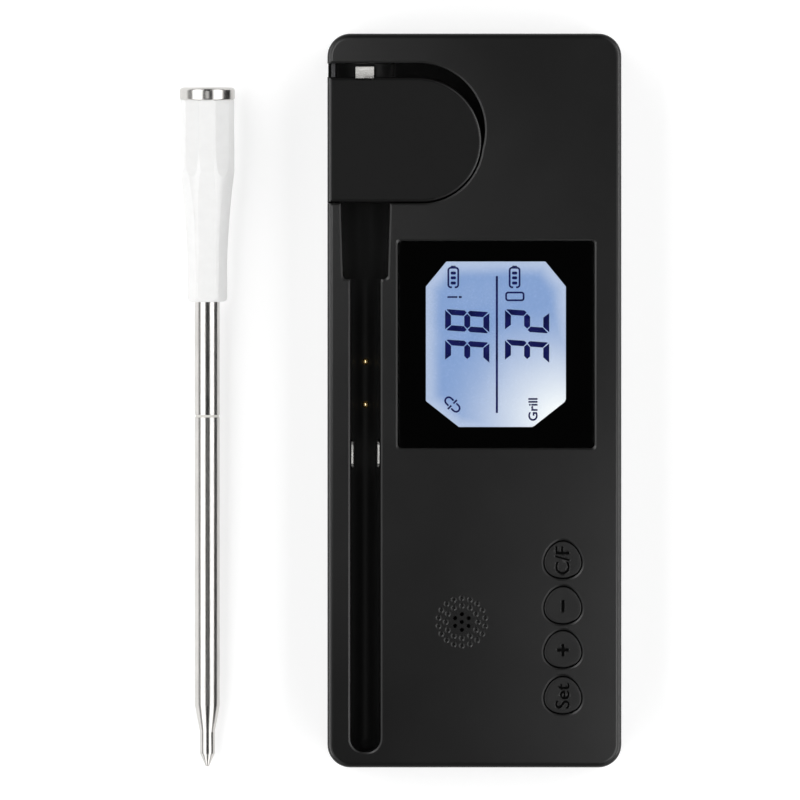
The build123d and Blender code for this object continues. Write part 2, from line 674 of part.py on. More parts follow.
def usb_socket():
    """The charging socket under the board: a folded metal shell with a tongue."""
    width, height, depth = USB
    top = BOARD_Z - BOARD_T
    y0 = -END_Y + 0.4
    face = RectangleRounded(width, height, height / 2 - 0.01)
    inner = RectangleRounded(width - 0.6, height - 0.6, height / 2 - 0.32)
    shell = extrude(Plane.XZ * face, -depth) - extrude(Plane.XZ * inner, -depth + 1.2)
    tongue = block(-3.4, 3.4, 1.2, depth - 1, -0.35, 0.35)
    return Pos(USB_X, y0, top - height / 2) * (shell + tongue)


def radio_module():
    """The radio under its metal can."""
    return block(-8, 6, -32, -18, BOARD_Z, 14.2)


def dock_antenna():
    """The chip aerial beside the radio."""
    return block(9, 11.4, -31, -22, BOARD_Z, 13.2)


def battery_pack():
    """The flat rechargeable cell behind the board."""
    cell = block(-9, 21, -60, -23, 2.6, 8.4)
    return fillet(cell.edges().filter_by(Axis.Y), 1.6)


def battery_lead():
    """The cell's plug on the back of the board."""
    return block(-8, -2, -66, -61, 7.2, BOARD_Z - BOARD_T)


def holding_magnets():
    """Magnets behind the rest pad. They hold the dock to a steel panel."""
    return [rod(8, y, FLOOR_Z, FLOOR_Z + 2, 6) for y in (56, 22, -12)]


# ================================================================ probe
def handle_radius(y):
    """Radius of the handle's outside: full at the cap, easing down to its lower end."""
    if y >= SHOULDER_Y:
        return HANDLE_R
    lower_y = 27.0
    if y <= lower_y:
        return HANDLE_END_R
    share = (y - lower_y) / (SHOULDER_Y - lower_y)
    return HANDLE_END_R + (HANDLE_R - HANDLE_END_R) * share ** 1.6


def probe_handle():
    """The ceramic handle: soft flats, ten round its upper part and six round the lower."""
    taper = [(handle_radius(y), y) for y in (27.0, 31.0, 35.5, 40.0, 43.5, SHOULDER_Y)]
    side = Spline(*taper, tangents=[(0, 1), (0.05, 1)])
    edge = 0.8
    low = [(2.56, HANDLE_END_Y), (HANDLE_END_R - edge, HANDLE_END_Y)]
    round_off = RadiusArc(low[1], (HANDLE_END_R, HANDLE_END_Y + edge), -edge)
    top = [(HANDLE_R, CAP_BASE_Y - 0.2), (HANDLE_R - 0.2, CAP_BASE_Y), (3.8, CAP_BASE_Y)]
    wire = [
        Line(*low),
        round_off,
        Line((HANDLE_END_R, HANDLE_END_Y + edge), taper[0]),
        side,
        Polyline(taper[-1], *top, (3.8, 47.0), (2.56, 45.0), low[0]),
    ]
    body = revolve(make_face(wire), Axis.Y, 360)
    upper = flat_cutter([(SHOULDER_Y - 6, 5.6), (SHOULDER_Y + 3, 5.22), (CAP_TOP_Y, 5.22)])
    lower = flat_cutter([(HANDLE_END_Y - 1, 3.62), (28.0, 3.66), (38.0, 4.22), (48.0, 5.7)])
    for step in range(10):
        body -= Rot(0, 36 * step, 0) * upper
    for step in range(6):
        body -= Rot(0, 60 * step, 0) * lower
    return body


def flat_cutter(points):
    """A cutter that leaves one long flat: its face follows (y, height) points above the axis."""
    curve = Spline(*points)
    start = points[0]
    end = points[-1]
    frame = Polyline(end, (end[0], 9), (start[0], 9), start)
    return extrude(Plane.YZ * make_face([curve, frame]), 4, both=True)


def probe_cap():
    """The metal cap: it is the charging contact and the aerial's end."""
    y0 = CAP_BASE_Y
    cap = turned([(0, y0), (CAP_R, y0), (CAP_R, CAP_TOP_Y), (0, CAP_TOP_Y)])
    rims = cap.edges().filter_by(GeomType.CIRCLE)
    cap = fillet(rims.sort_by(Axis.Y)[-1], 0.7)
    return fillet(cap.edges().filter_by(GeomType.CIRCLE).sort_by(Axis.Y)[0], 0.3)


def cap_plug():
    """The sealing plug under the cap, inside the handle's mouth."""
    return turned([(0, 57.3), (3.75, 57.3), (3.75, CAP_BASE_Y), (0, CAP_BASE_Y)])


def stem_tube(y0, y1):
    """A length of the steel stem."""
    r = STEM_R
    inner = r - STEM_WALL
    return turned([(inner, y0), (r, y0), (r, y1), (inner, y1)])


def stem_ring():
    """The insulating ring between the two lengths of stem, with a sleeve inside both."""
    inner = STEM_R - STEM_WALL
    outer = STEM_R - SEAM_DEEP
    y0 = SEAM_Y - SEAM_HALF
    y1 = SEAM_Y + SEAM_HALF
    ring = turned([(1.7, y0), (outer, y0), (outer, y1), (1.7, y1)])
    sleeve = turned([(1.7, SEAM_Y - 2), (inner, SEAM_Y - 2), (inner, SEAM_Y + 2), (1.7, SEAM_Y + 2)])
    return ring + sleeve


def probe_tip():
    """The solid tip: a taper, a short neck and a point."""
    inner = STEM_R - STEM_WALL
    return turned([
        (0, STEM_END_Y + 2), (inner, STEM_END_Y + 2), (inner, STEM_END_Y),
        (STEM_R, STEM_END_Y), (TIP_NECK_R, TIP_NECK_Y), (TIP_NECK_R, TIP_CONE_Y),
        (TIP_R, TIP_Y), (0, TIP_Y),
    ]) - turned([(0, -69.5), (0.9, -69.5), (0.9, -58), (0, -58)])


def place_probe(shape):
    """Lay the probe down: it rests on its stem's lower end and its handle's shoulder."""
    drop = atan2(HANDLE_R - STEM_R, SHOULDER_Y - STEM_END_Y)
    height = STEM_R / cos(drop) - STEM_END_Y * sin(drop) + LIE_GAP
    return Pos(PROBE_X, 0, height) * Rot(degrees(drop), 0, 0) * shape


# ================================================================ write the parts
def main():
    os.makedirs("parts", exist_ok=True)

    save("front_shell", front_shell())
    save("rear_shell", rear_shell())
    save("rest_pad", rest_pad())
    save("case_screws", *case_screws())

    save("probe_tray", probe_tray())
    save("cap_contact", cap_contact())
    save("stem_clip", stem_clip())
    save("tray_rivets", *tray_rivets())
    save("pogo_block", pogo_block())
    save("pogo_barrels", *pogo_barrels())
    save("upper_contact_pin", pogo_tip(PINS_Y[0]))
    save("lower_contact_pin", pogo_tip(PINS_Y[1]))

    save("handle_cover", handle_cover())
    save("hinge_pin", hinge_pin())
    save("cover_magnet", cover_magnet())
    save("catch_plate", catch_plate())

    save("display_lens", display_lens())
    save("lens_mask", lens_mask())
    save("lcd_glass", lcd_glass())
    save("backlight_panel", backlight_panel())
    save("zebra_strips", *zebra_strips())
    save("lcd_frame", lcd_frame())

    save("main_board", main_board())
    save("board_screws", *board_screws())
    for name, y in BUTTON_YS.items():
        save(f"{name}_button", button(y))
    save("tact_switches", *tact_switches())
    save("buzzer", buzzer())
    save("buzzer_gasket", buzzer_gasket())
    save("usb_socket", usb_socket())
    save("radio_module", radio_module())
    save("dock_antenna", dock_antenna())
    save("battery_pack", battery_pack())
    save("battery_lead", battery_lead())
    save("holding_magnets", *holding_magnets())

    probe = {
        "probe_handle": probe_handle(),
        "probe_cap": probe_cap(),
        "cap_plug": cap_plug(),
        "upper_stem": stem_tube(SEAM_Y + SEAM_HALF, 28.0),
        "stem_ring": stem_ring(),
        "lower_stem": stem_tube(STEM_END_Y, SEAM_Y - SEAM_HALF),
        "probe_tip": probe_tip(),
        "probe_board": block(-1.6, 1.6, -24, 27, -0.4, 0.4),
        "probe_cell": turned([(0, -52), (1.75, -52), (1.75, -26), (0, -26)]),
        "tip_sensor": turned([(0, -69.3), (0.7, -69.3), (0.7, -67), (0, -67)]),
        "handle_sensor": Pos(0, 50.0, 0) * Sphere(1.2),
        "probe_antenna": turned([(0, 52), (0.6, 52), (0.6, 57.2), (0, 57.2)]),
    }
    for name, shape in probe.items():
        save(name, place_probe(shape))


main()
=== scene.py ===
# %% [markdown]
# # A wireless meat thermometer
# The object is in two parts. A cordless probe, a steel spike with a white ceramic handle, goes into
# the meat. A flat black dock charges the probe in a long channel and shows its temperatures. The
# solids come ready made from the CAD model, in metres and in their final places. This lesson gives
# each of them its finish, and adds what is too fine for CAD: the display's ink and the buttons' marks.

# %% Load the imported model
import json
import math

import bmesh
import bpy
from mathutils import Matrix, Vector

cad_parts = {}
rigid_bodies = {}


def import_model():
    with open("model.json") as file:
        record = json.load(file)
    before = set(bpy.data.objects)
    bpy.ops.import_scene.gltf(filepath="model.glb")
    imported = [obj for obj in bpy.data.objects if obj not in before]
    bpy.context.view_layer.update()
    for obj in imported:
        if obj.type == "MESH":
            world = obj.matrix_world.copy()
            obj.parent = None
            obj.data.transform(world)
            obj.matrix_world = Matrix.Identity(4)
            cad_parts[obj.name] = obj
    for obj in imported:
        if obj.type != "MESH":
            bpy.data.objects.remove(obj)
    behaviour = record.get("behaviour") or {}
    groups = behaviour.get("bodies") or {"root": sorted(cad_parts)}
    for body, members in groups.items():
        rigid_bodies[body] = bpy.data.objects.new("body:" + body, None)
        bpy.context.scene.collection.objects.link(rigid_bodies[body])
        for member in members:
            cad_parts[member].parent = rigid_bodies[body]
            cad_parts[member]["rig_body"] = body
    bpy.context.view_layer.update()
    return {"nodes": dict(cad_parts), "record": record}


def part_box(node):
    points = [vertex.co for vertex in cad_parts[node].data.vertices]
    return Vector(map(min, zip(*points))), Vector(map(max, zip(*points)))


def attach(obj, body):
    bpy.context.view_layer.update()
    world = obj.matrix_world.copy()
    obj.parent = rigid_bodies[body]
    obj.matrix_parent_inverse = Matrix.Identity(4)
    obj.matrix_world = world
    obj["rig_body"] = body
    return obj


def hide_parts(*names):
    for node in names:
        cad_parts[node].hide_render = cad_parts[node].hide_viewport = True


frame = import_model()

MM = 0.001
nodes = frame["nodes"]

# %% [markdown]
# ## Camera
# The dock is looked at from straight above, as on a page of a catalogue. A long lens far away keeps
# the sides of the casing from leaning outwards, which a short lens close by would show.

# %% Put the camera straight above the face
face_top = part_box("front_shell")[1].z
VIEW_WIDTH = 0.160
VIEW_CENTRE = (-14.88 * MM, 0.1 * MM)
CAMERA_HEIGHT = 6.0
SENSOR = 36.0

camera_data = bpy.data.cameras.new("camera")
camera_data.sensor_width = SENSOR
camera_data.lens = SENSOR * CAMERA_HEIGHT / VIEW_WIDTH
camera_data.clip_end = 40.0
camera = bpy.data.objects.new("camera", camera_data)
camera.location = (*VIEW_CENTRE, face_top + CAMERA_HEIGHT)
bpy.context.scene.collection.objects.link(camera)
bpy.context.scene.camera = camera
print("camera lens", camera_data.lens, "mm")

# %% [markdown]
# ## Light
# Polished steel shows whatever stands round it. Two long soft boxes, left and right, draw white
# stripes down the stem, and the dark ceiling between them draws the dark stripe in the middle. One
# big lamp overhead would turn the steel flat grey and put a veil over the black face. The boxes are
# much longer than the object, because the probe's taper and point mirror their far ends.

# %% Two soft boxes
def soft_box(name, place, aim, size, radiance):
    """A rectangular lamp at place that faces aim. The size is (across, along Y), in metres."""
    lamp = bpy.data.lights.new(name, "AREA")
    lamp.shape = "RECTANGLE"
    lamp.size, lamp.size_y = size
    lamp.energy = radiance * math.pi * size[0] * size[1]
    box = bpy.data.objects.new(name, lamp)
    away = (Vector(place) - Vector(aim)).normalized()
    across = Vector((0, 1, 0)).cross(away).normalized()
    facing = Matrix((across, away.cross(across), away)).transposed()
    box.matrix_world = Matrix.Translation(place) @ facing.to_4x4()
    box.visible_camera = False
    bpy.context.scene.collection.objects.link(box)
    return box


def beside(side, distance, degrees, y, centre=Vector((-0.015, 0, 0.01))):
    """A place this far off on one side, at an angle from straight up, and the point that it faces."""
    angle = math.radians(degrees)
    aim = Vector((centre.x, y, centre.z))
    return aim + distance * Vector((side * math.sin(angle), 0, math.cos(angle))), aim


BOX_DISTANCE = 0.62
BOX_DEGREES = 44
BOX_Y = -0.15
BOX_SIZE = (0.50, 2.0)
BOX_RADIANCE = 2.0
for side, name in ((-1, "left_soft_box"), (1, "right_soft_box")):
    place, aim = beside(side, BOX_DISTANCE, BOX_DEGREES, BOX_Y)
    soft_box(name, place, aim, BOX_SIZE, BOX_RADIANCE)
print("soft boxes", len(bpy.data.lights))

# %% [markdown]
# ### A dim room
# The room round the boxes glows a little near the ground and hardly at all overhead. An even glow
# would fill the dark stripe on the stem. The world's own shader does this: its strength falls from
# the walls to the ceiling with the height of the direction that is looked in.

# %% A room that is darker overhead
WALL_GLOW = 0.42
CEILING_GLOW = 0.03
CEILING_STARTS = 0.9
world = bpy.data.worlds.new("studio")
bpy.context.scene.world = world
world.use_nodes = True
sky = world.node_tree
direction = sky.nodes.new("ShaderNodeTexCoord")
height = sky.nodes.new("ShaderNodeSeparateXYZ")
dimming = sky.nodes.new("ShaderNodeMapRange")
dimming.inputs["From Max"].default_value = CEILING_STARTS
dimming.inputs["To Min"].default_value = WALL_GLOW
dimming.inputs["To Max"].default_value = CEILING_GLOW
sky.nodes["Background"].inputs["Color"].default_value = (1, 1, 1, 1)
sky.links.new(direction.outputs["Generated"], height.inputs[0])
sky.links.new(height.outputs["Z"], dimming.inputs["Value"])
sky.links.new(dimming.outputs["Result"], sky.nodes["Background"].inputs["Strength"])
bpy.context.scene.view_settings.view_transform = "Standard"
print("room glow from", WALL_GLOW, "at the walls to", CEILING_GLOW, "overhead")

# %% [markdown]
# ### Lamps linked to single pieces
# A black satin face hardly scatters light: it shows only soft reflections of lamps. Two small lamps
# close to opposite corners give the face its sheen, which runs from corner to corner. Two low strips
# graze the dock from its sides and draw thin bright lines on its rounded edges.
#
# Metal that faces straight up mirrors only the dark ceiling, so four more lamps hang overhead. One
# lights the flat contacts, the channel and the cover. A wide one fills the small domes of the two
# charging pins. A faint one lifts the lower stem, and one lights the upper side of the probe's cap.
# Each lamp is linked to the pieces it is for, so that none spoils the stripes on the steel.

# %% Lamps linked to single pieces
def light_only(box, names):
    """Let this lamp light only the named CAD pieces. Other pieces can join its collection later."""
    lit = bpy.data.collections.new(box.name + "_lights")
    for name in names:
        lit.objects.link(nodes[name])
    box.light_linking.receiver_collection = lit
    return lit


CORNER_LAMP_SIZE = (0.05, 0.15)
RIM_STRIP_SIZE = (0.12, 0.7)
RIM_STRIP_DISTANCE = 0.5
RIM_STRIP_DEGREES = 72
BLACK_DOCK_RADIANCE = 13.0

face_lit = []
for side, name in ((-1, "far_corner_lamp"), (1, "near_corner_lamp")):
    place = Vector((side * 0.09, -side * 0.075, 0.22))
    aim = place - Vector((side * 0.06, 0, 0.2))
    lamp = soft_box(name, place, aim, CORNER_LAMP_SIZE, BLACK_DOCK_RADIANCE)
    face_lit.append(light_only(lamp, ["front_shell"]))

rim_lit = []
for side, name in ((-1, "left_rim_strip"), (1, "right_rim_strip")):
    place, aim = beside(side, RIM_STRIP_DISTANCE, RIM_STRIP_DEGREES, 0.0, Vector((0, 0, 0.018)))
    lamp = soft_box(name, place, aim, RIM_STRIP_SIZE, BLACK_DOCK_RADIANCE)
    rim_lit.append(light_only(lamp, ["front_shell", "rear_shell", "handle_cover"]))

# Each overhead lamp's place, size, radiance and pieces. It faces straight down.
OVERHEAD_LAMPS = {
    "overhead_lamp": ((0, 0, 1.3), (0.34, 0.34), 1.5,
                      ["cap_contact", "stem_clip", "probe_tray", "handle_cover"]),
    "pin_lamp": ((-0.02, 0, 0.4), (1.0, 1.0), 5.0, ["upper_contact_pin", "lower_contact_pin"]),
    "lower_stem_lamp": ((0, -0.1, 1.3), (0.34, 0.5), 0.16, ["lower_stem"]),
    "cap_lamp": ((-0.05, 0.06, 1.3), (0.34, 0.5), 0.75, ["probe_cap"]),
}
for name, (place, size, radiance, lit_pieces) in OVERHEAD_LAMPS.items():
    light_only(soft_box(name, place, (place[0], place[1], 0), size, radiance), lit_pieces)
print("all lamps", [lamp.name for lamp in bpy.data.lights])

# %% [markdown]
# ## Tools for finishes
# Every finish here is a Principled shader whose roughness, colour and surface relief are varied by
# procedural textures, read in metres from each piece's own coordinates. That keeps grain the same
# size on a big shell and a small button, and it needs no picture files. These few helpers keep the
# finishes below short.

# %% Helpers that build finishes
class Finish:
    """A Principled material, and the short ways used here to add texture to it."""

    def __init__(self, name, color, roughness, **sockets):
        self.material = bpy.data.materials.new(name)
        self.material.use_nodes = True
        self.tree = self.material.node_tree
        self.shader = self.tree.nodes["Principled BSDF"]
        self.shader.inputs["Base Color"].default_value = (*color, 1)
        self.shader.inputs["Roughness"].default_value = roughness
        for socket, value in sockets.items():
            self.shader.inputs[socket.replace("_", " ")].default_value = value
        self.points = self.node("TexCoord").outputs["Object"]
        self.relief = None

    def node(self, kind, settings=(), **inputs):
        """A new shader node. Inputs go by name, or by number as i0, i1. Each is a value or an output."""
        node = self.tree.nodes.new("ShaderNode" + kind)
        for key, value in settings:
            setattr(node, key, value)
        for key, value in inputs.items():
            by_number = key[0] == "i" and key[1:].isdigit()
            socket = node.inputs[int(key[1:]) if by_number else key.replace("_", " ")]
            if isinstance(value, bpy.types.NodeSocket):
                self.tree.links.new(value, socket)
            else:
                socket.default_value = value
        return node

    def stretched(self, x, y, z):
        """The piece's coordinates, scaled to texture cells of these sizes in millimetres."""
        scale = tuple(1 / (size * MM) for size in (x, y, z))
        return self.node("Mapping", Vector=self.points, Scale=scale).outputs["Vector"]

    def noise(self, x, y=None, z=None, detail=3.0, rough=0.5):
        """Cloudy noise from 0 to 1, with features about this many millimetres across."""
        y = x if y is None else y
        z = x if z is None else z
        cells = self.stretched(x, y, z)
        texture = self.node("TexNoise", Vector=cells, Scale=1.0, Detail=detail, Roughness=rough)
        return texture.outputs["Fac"]

    def between(self, value, low, high, to_low=0.0, to_high=1.0, smooth=False):
        """Map low..high onto to_low..to_high."""
        settings = [("interpolation_type", "SMOOTHSTEP")] if smooth else []
        node = self.node("MapRange", settings, Value=value)
        limits = {"From Min": low, "From Max": high, "To Min": to_low, "To Max": to_high}
        for socket, number in limits.items():
            node.inputs[socket].default_value = number
        return node.outputs["Result"]

    def maths(self, operation, a, b):
        """One operation on a and b. Each is a number or another node's output."""
        return self.node("Math", [("operation", operation)], i0=a, i1=b).outputs[0]

    def mix(self, share, color_a, color_b):
        """Colour a where share is 0, colour b where it is 1."""
        node = self.node("Mix", [("data_type", "RGBA")])
        for index, value in ((0, share), (6, color_a), (7, color_b)):
            if isinstance(value, bpy.types.NodeSocket):
                self.tree.links.new(value, node.inputs[index])
            else:
                node.inputs[index].default_value = value if index == 0 else (*value, 1)
        return node.outputs[2]

    def drive(self, socket, value):
        """Link a texture to one of the shader's sockets."""
        self.tree.links.new(value, self.shader.inputs[socket])
        return self

    def bump(self, height, depth, strength=1.0):
        """Raise the surface by height times depth millimetres. Further calls add to the first."""
        node = self.node("Bump", Height=height, Distance=depth * MM, Strength=strength)
        if self.relief is not None:
            self.tree.links.new(self.relief, node.inputs["Normal"])
        self.relief = node.outputs["Normal"]
        return self.drive("Normal", self.relief)


finishes = {}
print("finish tools ready")

# %% [markdown]
# ## Satin black plastic
# The casing, the cover and the buttons are moulded from black plastic. The mould is spark eroded,
# which leaves a very fine even grain, and that grain is what makes the gloss soft. The helpers below
# add the grain, faint scratches, and broad smears where hands have polished it. A smooth black
# shader would look like wet paint, and a rough one like rubber.

# %% Moulded black plastics
GRAIN_DEPTH = 0.004
SCRATCH_DEPTH = 0.0015
SMEAR = 0.02


def grained(name, color, roughness, grain, gloss):
    """Black plastic with a spark-eroded grain and hairline scratches, and the textures of both."""
    finish = Finish(name, color, roughness, Specular_IOR_Level=gloss)
    pits = finish.noise(grain, detail=2.0)
    hairs = finish.noise(9.0, 0.25, 9.0, detail=2.0, rough=0.7)
    cross_hairs = finish.noise(0.22, 11.0, 9.0, detail=2.0, rough=0.7)
    lengthwise = finish.between(hairs, 0.69, 0.76)
    crosswise = finish.between(cross_hairs, 0.70, 0.77)
    scratches = finish.maths("MAXIMUM", lengthwise, crosswise)
    finish.bump(pits, GRAIN_DEPTH, 0.5).bump(scratches, -SCRATCH_DEPTH, 0.5)
    return finish, pits, scratches


def moulded(name, color, roughness, grain=0.09, gloss=0.22):
    """Grained plastic whose gloss changes slowly where hands have smeared it."""
    finish, pits, scratches = grained(name, color, roughness, grain, gloss)
    smears = finish.noise(34.0, detail=3.0, rough=0.5)
    sheen = finish.between(smears, 0.3, 0.7, roughness - SMEAR, roughness + SMEAR)
    dull_scratches = finish.maths("MULTIPLY", scratches, 0.06)
    finish.drive("Roughness", finish.maths("ADD", sheen, dull_scratches))
    lighter = tuple(channel * 1.25 for channel in color)
    peaks = finish.between(pits, 0.35, 0.75)
    return finish.drive("Base Color", finish.mix(peaks, color, lighter))


finishes["satin_black_plastic"] = moulded("satin_black_plastic", (0.0008, 0.0008, 0.0008), 0.33)
finishes["button_black_plastic"] = moulded("button_black_plastic", (0.0010, 0.0010, 0.0010), 0.46,
                                           grain=0.07, gloss=0.14)
print("moulded plastics", sorted(finishes))

# %% [markdown]
# ### The tray
# The tray holds both the probe's long channel and the finger pocket to the right of its cap. The
# channel is painted a little lighter, as painted light, and the deep pocket is painted nearly black,
# as painted shade. It is one moulding, so one finish blends from the first tone to the second across
# the tray.

# %% Tray plastic, with painted light in the channel and painted shade in the pocket
# Painted light and shade: the channel's greys, mixed by the grain, are lighter than the black plastic,
# and the pocket is painted near black.
CHANNEL_PAINTED_LIGHT_GREYS = ((0.018, 0.018, 0.018), (0.026, 0.026, 0.026))
POCKET_PAINTED_SHADE = (0.0006, 0.0006, 0.0006)
CHANNEL_END_X = -16.5 * MM
POCKET_X = -15.5 * MM
tray, tray_pits, _ = grained("black_tray_plastic", CHANNEL_PAINTED_LIGHT_GREYS[0], 0.4, grain=0.12, gloss=0.22)
tray_x = tray.node("SeparateXYZ", Vector=tray.points).outputs["X"]
in_pocket = tray.between(tray_x, CHANNEL_END_X, POCKET_X)
channel_grain_and_light = tray.mix(tray_pits, *CHANNEL_PAINTED_LIGHT_GREYS)
tray.drive("Base Color", tray.mix(in_pocket, channel_grain_and_light, POCKET_PAINTED_SHADE))
tray_mottle = tray.maths("MULTIPLY", tray_pits, 0.1)
tray_dullness = tray.between(tray.maths("ADD", in_pocket, tray_mottle), 0, 1, 0.38, 0.8)
finishes["black_tray_plastic"] = tray.drive("Roughness", tray_dullness)
print("tray turns black between", CHANNEL_END_X, "and", POCKET_X)

# %% [markdown]
# ## Soft black pieces
# The rest pad under the dock is silicone rubber. It is matt, with a dusty bloom, and its mould gives
# it a pattern of small round dots that keeps it from sliding. The buzzer's gasket is open foam. Both
# need a high roughness, and the foam gets cells from a Voronoi texture, whose edges look like bubbles.
# The middles of the cells are painted darker than their walls, as painted shade in the pores.

# %% Silicone and foam
rubber = Finish("black_silicone", (0.016, 0.016, 0.017), 0.72)
DOT_PITCH = 2.2
dot_cells = rubber.stretched(DOT_PITCH, DOT_PITCH, DOT_PITCH)
dot_grid = rubber.node("TexVoronoi", [("feature", "F1")], Vector=dot_cells, Scale=1.0, Randomness=0.0)
dots = rubber.between(dot_grid.outputs["Distance"], 0.24, 0.34, 1.0, 0.0, smooth=True)
dust = rubber.noise(6.0, detail=6.0, rough=0.65)
bloom = rubber.between(dust, 0.45, 0.75)
rubber.drive("Base Color", rubber.mix(bloom, (0.014, 0.014, 0.015), (0.034, 0.033, 0.032)))
rubber.drive("Roughness", rubber.between(dust, 0.3, 0.7, 0.66, 0.82))
rubber.bump(dots, 0.12, 0.6).bump(rubber.noise(0.3), 0.01, 0.4)
finishes["black_silicone"] = rubber

foam = Finish("foam", (0.03, 0.03, 0.032), 0.9)
FOAM_CELL = 0.35
foam_cells = foam.stretched(FOAM_CELL, FOAM_CELL, FOAM_CELL)
bubbles = foam.node("TexVoronoi", [("feature", "DISTANCE_TO_EDGE")], Vector=foam_cells, Scale=1.0)
walls = foam.between(bubbles.outputs["Distance"], 0.0, 0.25, 1.0, 0.0)
# Painted shade: the middles of the cells are darker than their walls, for the shade in the pores.
foam.drive("Base Color", foam.mix(walls, (0.012, 0.012, 0.013), (0.05, 0.05, 0.052)))
foam.drive("Roughness", foam.between(walls, 0, 1, 0.95, 0.8))
finishes["foam"] = foam.bump(walls, 0.1, 0.7)
print("soft finishes ready")

# %% [markdown]
# ## Metals
# Four metals show: the polished stem and cap, the brushed spring clip and charging leaf, the gilded
# contact pins, and the screws. Metal has almost no colour of its own apart from its reflection, so
# the work is in roughness and relief. Fine lines along or round the piece, from noise stretched a
# hundred times longer than it is wide, say which way it was rubbed.

# %% Steel, springs, screws and magnets
RUB_DEPTH = 0.0008


def metal(name, color, roughness, line_mm, spread):
    """A metal rubbed in one direction: line_mm gives the lines' sizes along X, Y and Z."""
    finish = Finish(name, color, roughness, Metallic=1.0)
    lines = finish.noise(*line_mm, detail=3.0, rough=0.6)
    clouds = finish.noise(5.0, detail=4.0)
    worn = finish.between(clouds, 0.35, 0.7, roughness - spread, roughness + spread)
    streaks = finish.between(lines, 0.35, 0.75, -spread, spread)
    finish.drive("Roughness", finish.maths("ADD", worn, streaks))
    duller = tuple(channel * 0.86 for channel in color)
    finish.drive("Base Color", finish.mix(finish.between(clouds, 0.4, 0.8), color, duller))
    return finish.bump(lines, RUB_DEPTH, 0.5)


finishes["polished_steel"] = metal("polished_steel", (0.62, 0.605, 0.585), 0.22, (0.12, 14.0, 0.12), 0.03)
finishes["spring_steel"] = metal("spring_steel", (0.62, 0.61, 0.59), 0.3, (3.0, 0.06, 3.0), 0.06)
finishes["screw_steel"] = metal("screw_steel", (0.05, 0.05, 0.052), 0.38, (0.2, 0.2, 0.2), 0.08)
finishes["magnet_nickel"] = metal("magnet_nickel", (0.58, 0.56, 0.52), 0.22, (1.0, 1.0, 1.0), 0.06)
print("metals", [name for name in finishes if "steel" in name or "nickel" in name])

# %% [markdown]
# ### Gilded charging pins
# The pins' tips show bare bright gold. Their feet and sleeves sit down in the holes, and there the
# gold is painted dark brown, as painted shade. The height on the pin chooses between the two tones.

# %% Gold, bright at the tips
GOLD = (0.95, 0.74, 0.36)
SLEEVE_SHADE_Z = 7.0 * MM
BRIGHT_GOLD_Z = 7.4 * MM
gold = metal("gold_plate", GOLD, 0.3, (0.1, 0.1, 1.0), 0.05)
gold_height = gold.node("SeparateXYZ", Vector=gold.points).outputs["Z"]
# Painted shade: below the pins' tips the gold turns dark brown, for the shade down in the sleeves.
sleeve_shade = gold.mix(gold.noise(0.4), (0.05, 0.035, 0.015), (0.10, 0.07, 0.03))
bare_gold = gold.mix(gold.noise(2.0), GOLD, (0.90, 0.68, 0.31))
out_of_sleeve_shade = gold.between(gold_height, SLEEVE_SHADE_Z, BRIGHT_GOLD_Z)
finishes["gold_plate"] = gold.drive("Base Color", gold.mix(out_of_sleeve_shade, sleeve_shade, bare_gold))
print("gold is clean above", BRIGHT_GOLD_Z)

# %% [markdown]
# ## Ceramic and polymer
# The handle is zirconia, fired white, then tumbled. It is dense and slightly translucent, with a soft
# gloss and hardly any texture, so all it gets is a faint mottle, a few grey rub marks and a low
# waviness. The ring in the stem is a pale heat-proof polymer.

# %% Ceramic handle and the ring in the stem
ceramic = Finish("white_ceramic", (0.84, 0.84, 0.835), 0.33, IOR=1.6)
mottle = ceramic.noise(2.4, detail=5.0, rough=0.6)
rubs = ceramic.between(ceramic.noise(1.0, 16.0, 1.0, detail=4.0, rough=0.65), 0.66, 0.8)
clean = ceramic.mix(ceramic.between(mottle, 0.3, 0.7), (0.85, 0.85, 0.845), (0.815, 0.815, 0.81))
rub_share = ceramic.maths("MULTIPLY", rubs, 0.35)
ceramic.drive("Base Color", ceramic.mix(rub_share, clean, (0.66, 0.66, 0.66)))
ceramic.drive("Roughness", ceramic.between(mottle, 0.3, 0.7, 0.29, 0.39))
finishes["white_ceramic"] = ceramic.bump(ceramic.noise(0.5), 0.002, 0.5)

ring = Finish("ring_polymer", (0.72, 0.70, 0.66), 0.5)
ring_cloud = ring.noise(0.6)
ring.drive("Base Color", ring.mix(ring_cloud, (0.66, 0.64, 0.60), (0.78, 0.76, 0.72)))
finishes["ring_polymer"] = ring.bump(ring_cloud, 0.003)
print("ceramic and polymer ready")

# %% [markdown]
# ## Window
# The display sits behind one flat window of clear acrylic. Its back is printed black all round the
# lit area, so that only an eight-sided opening shows. The window itself is a transmitting shader with
# a very low roughness, broken by a few faint wipe marks, and the print is a deep black.

# %% Clear window and its black print
lens = Finish("clear_lens", (0.97, 0.98, 0.98), 0.02, IOR=1.47)
lens.shader.inputs["Transmission Weight"].default_value = 1.0
wipes = lens.between(lens.noise(2.0, 24.0, 5.0, detail=4.0), 0.62, 0.8)
lens.drive("Roughness", lens.between(wipes, 0, 1, 0.012, 0.06))
finishes["clear_lens"] = lens

print_black = Finish("black_print", (0.0012, 0.0012, 0.0014), 0.4)
print_cloud = print_black.noise(1.5, detail=4.0)
print_tone = print_black.mix(print_cloud, (0.0008, 0.0008, 0.0010), (0.0020, 0.0020, 0.0022))
print_black.drive("Base Color", print_tone)
print_black.drive("Roughness", print_black.between(print_cloud, 0.3, 0.7, 0.35, 0.5))
finishes["black_print"] = print_black
print("window finishes ready")

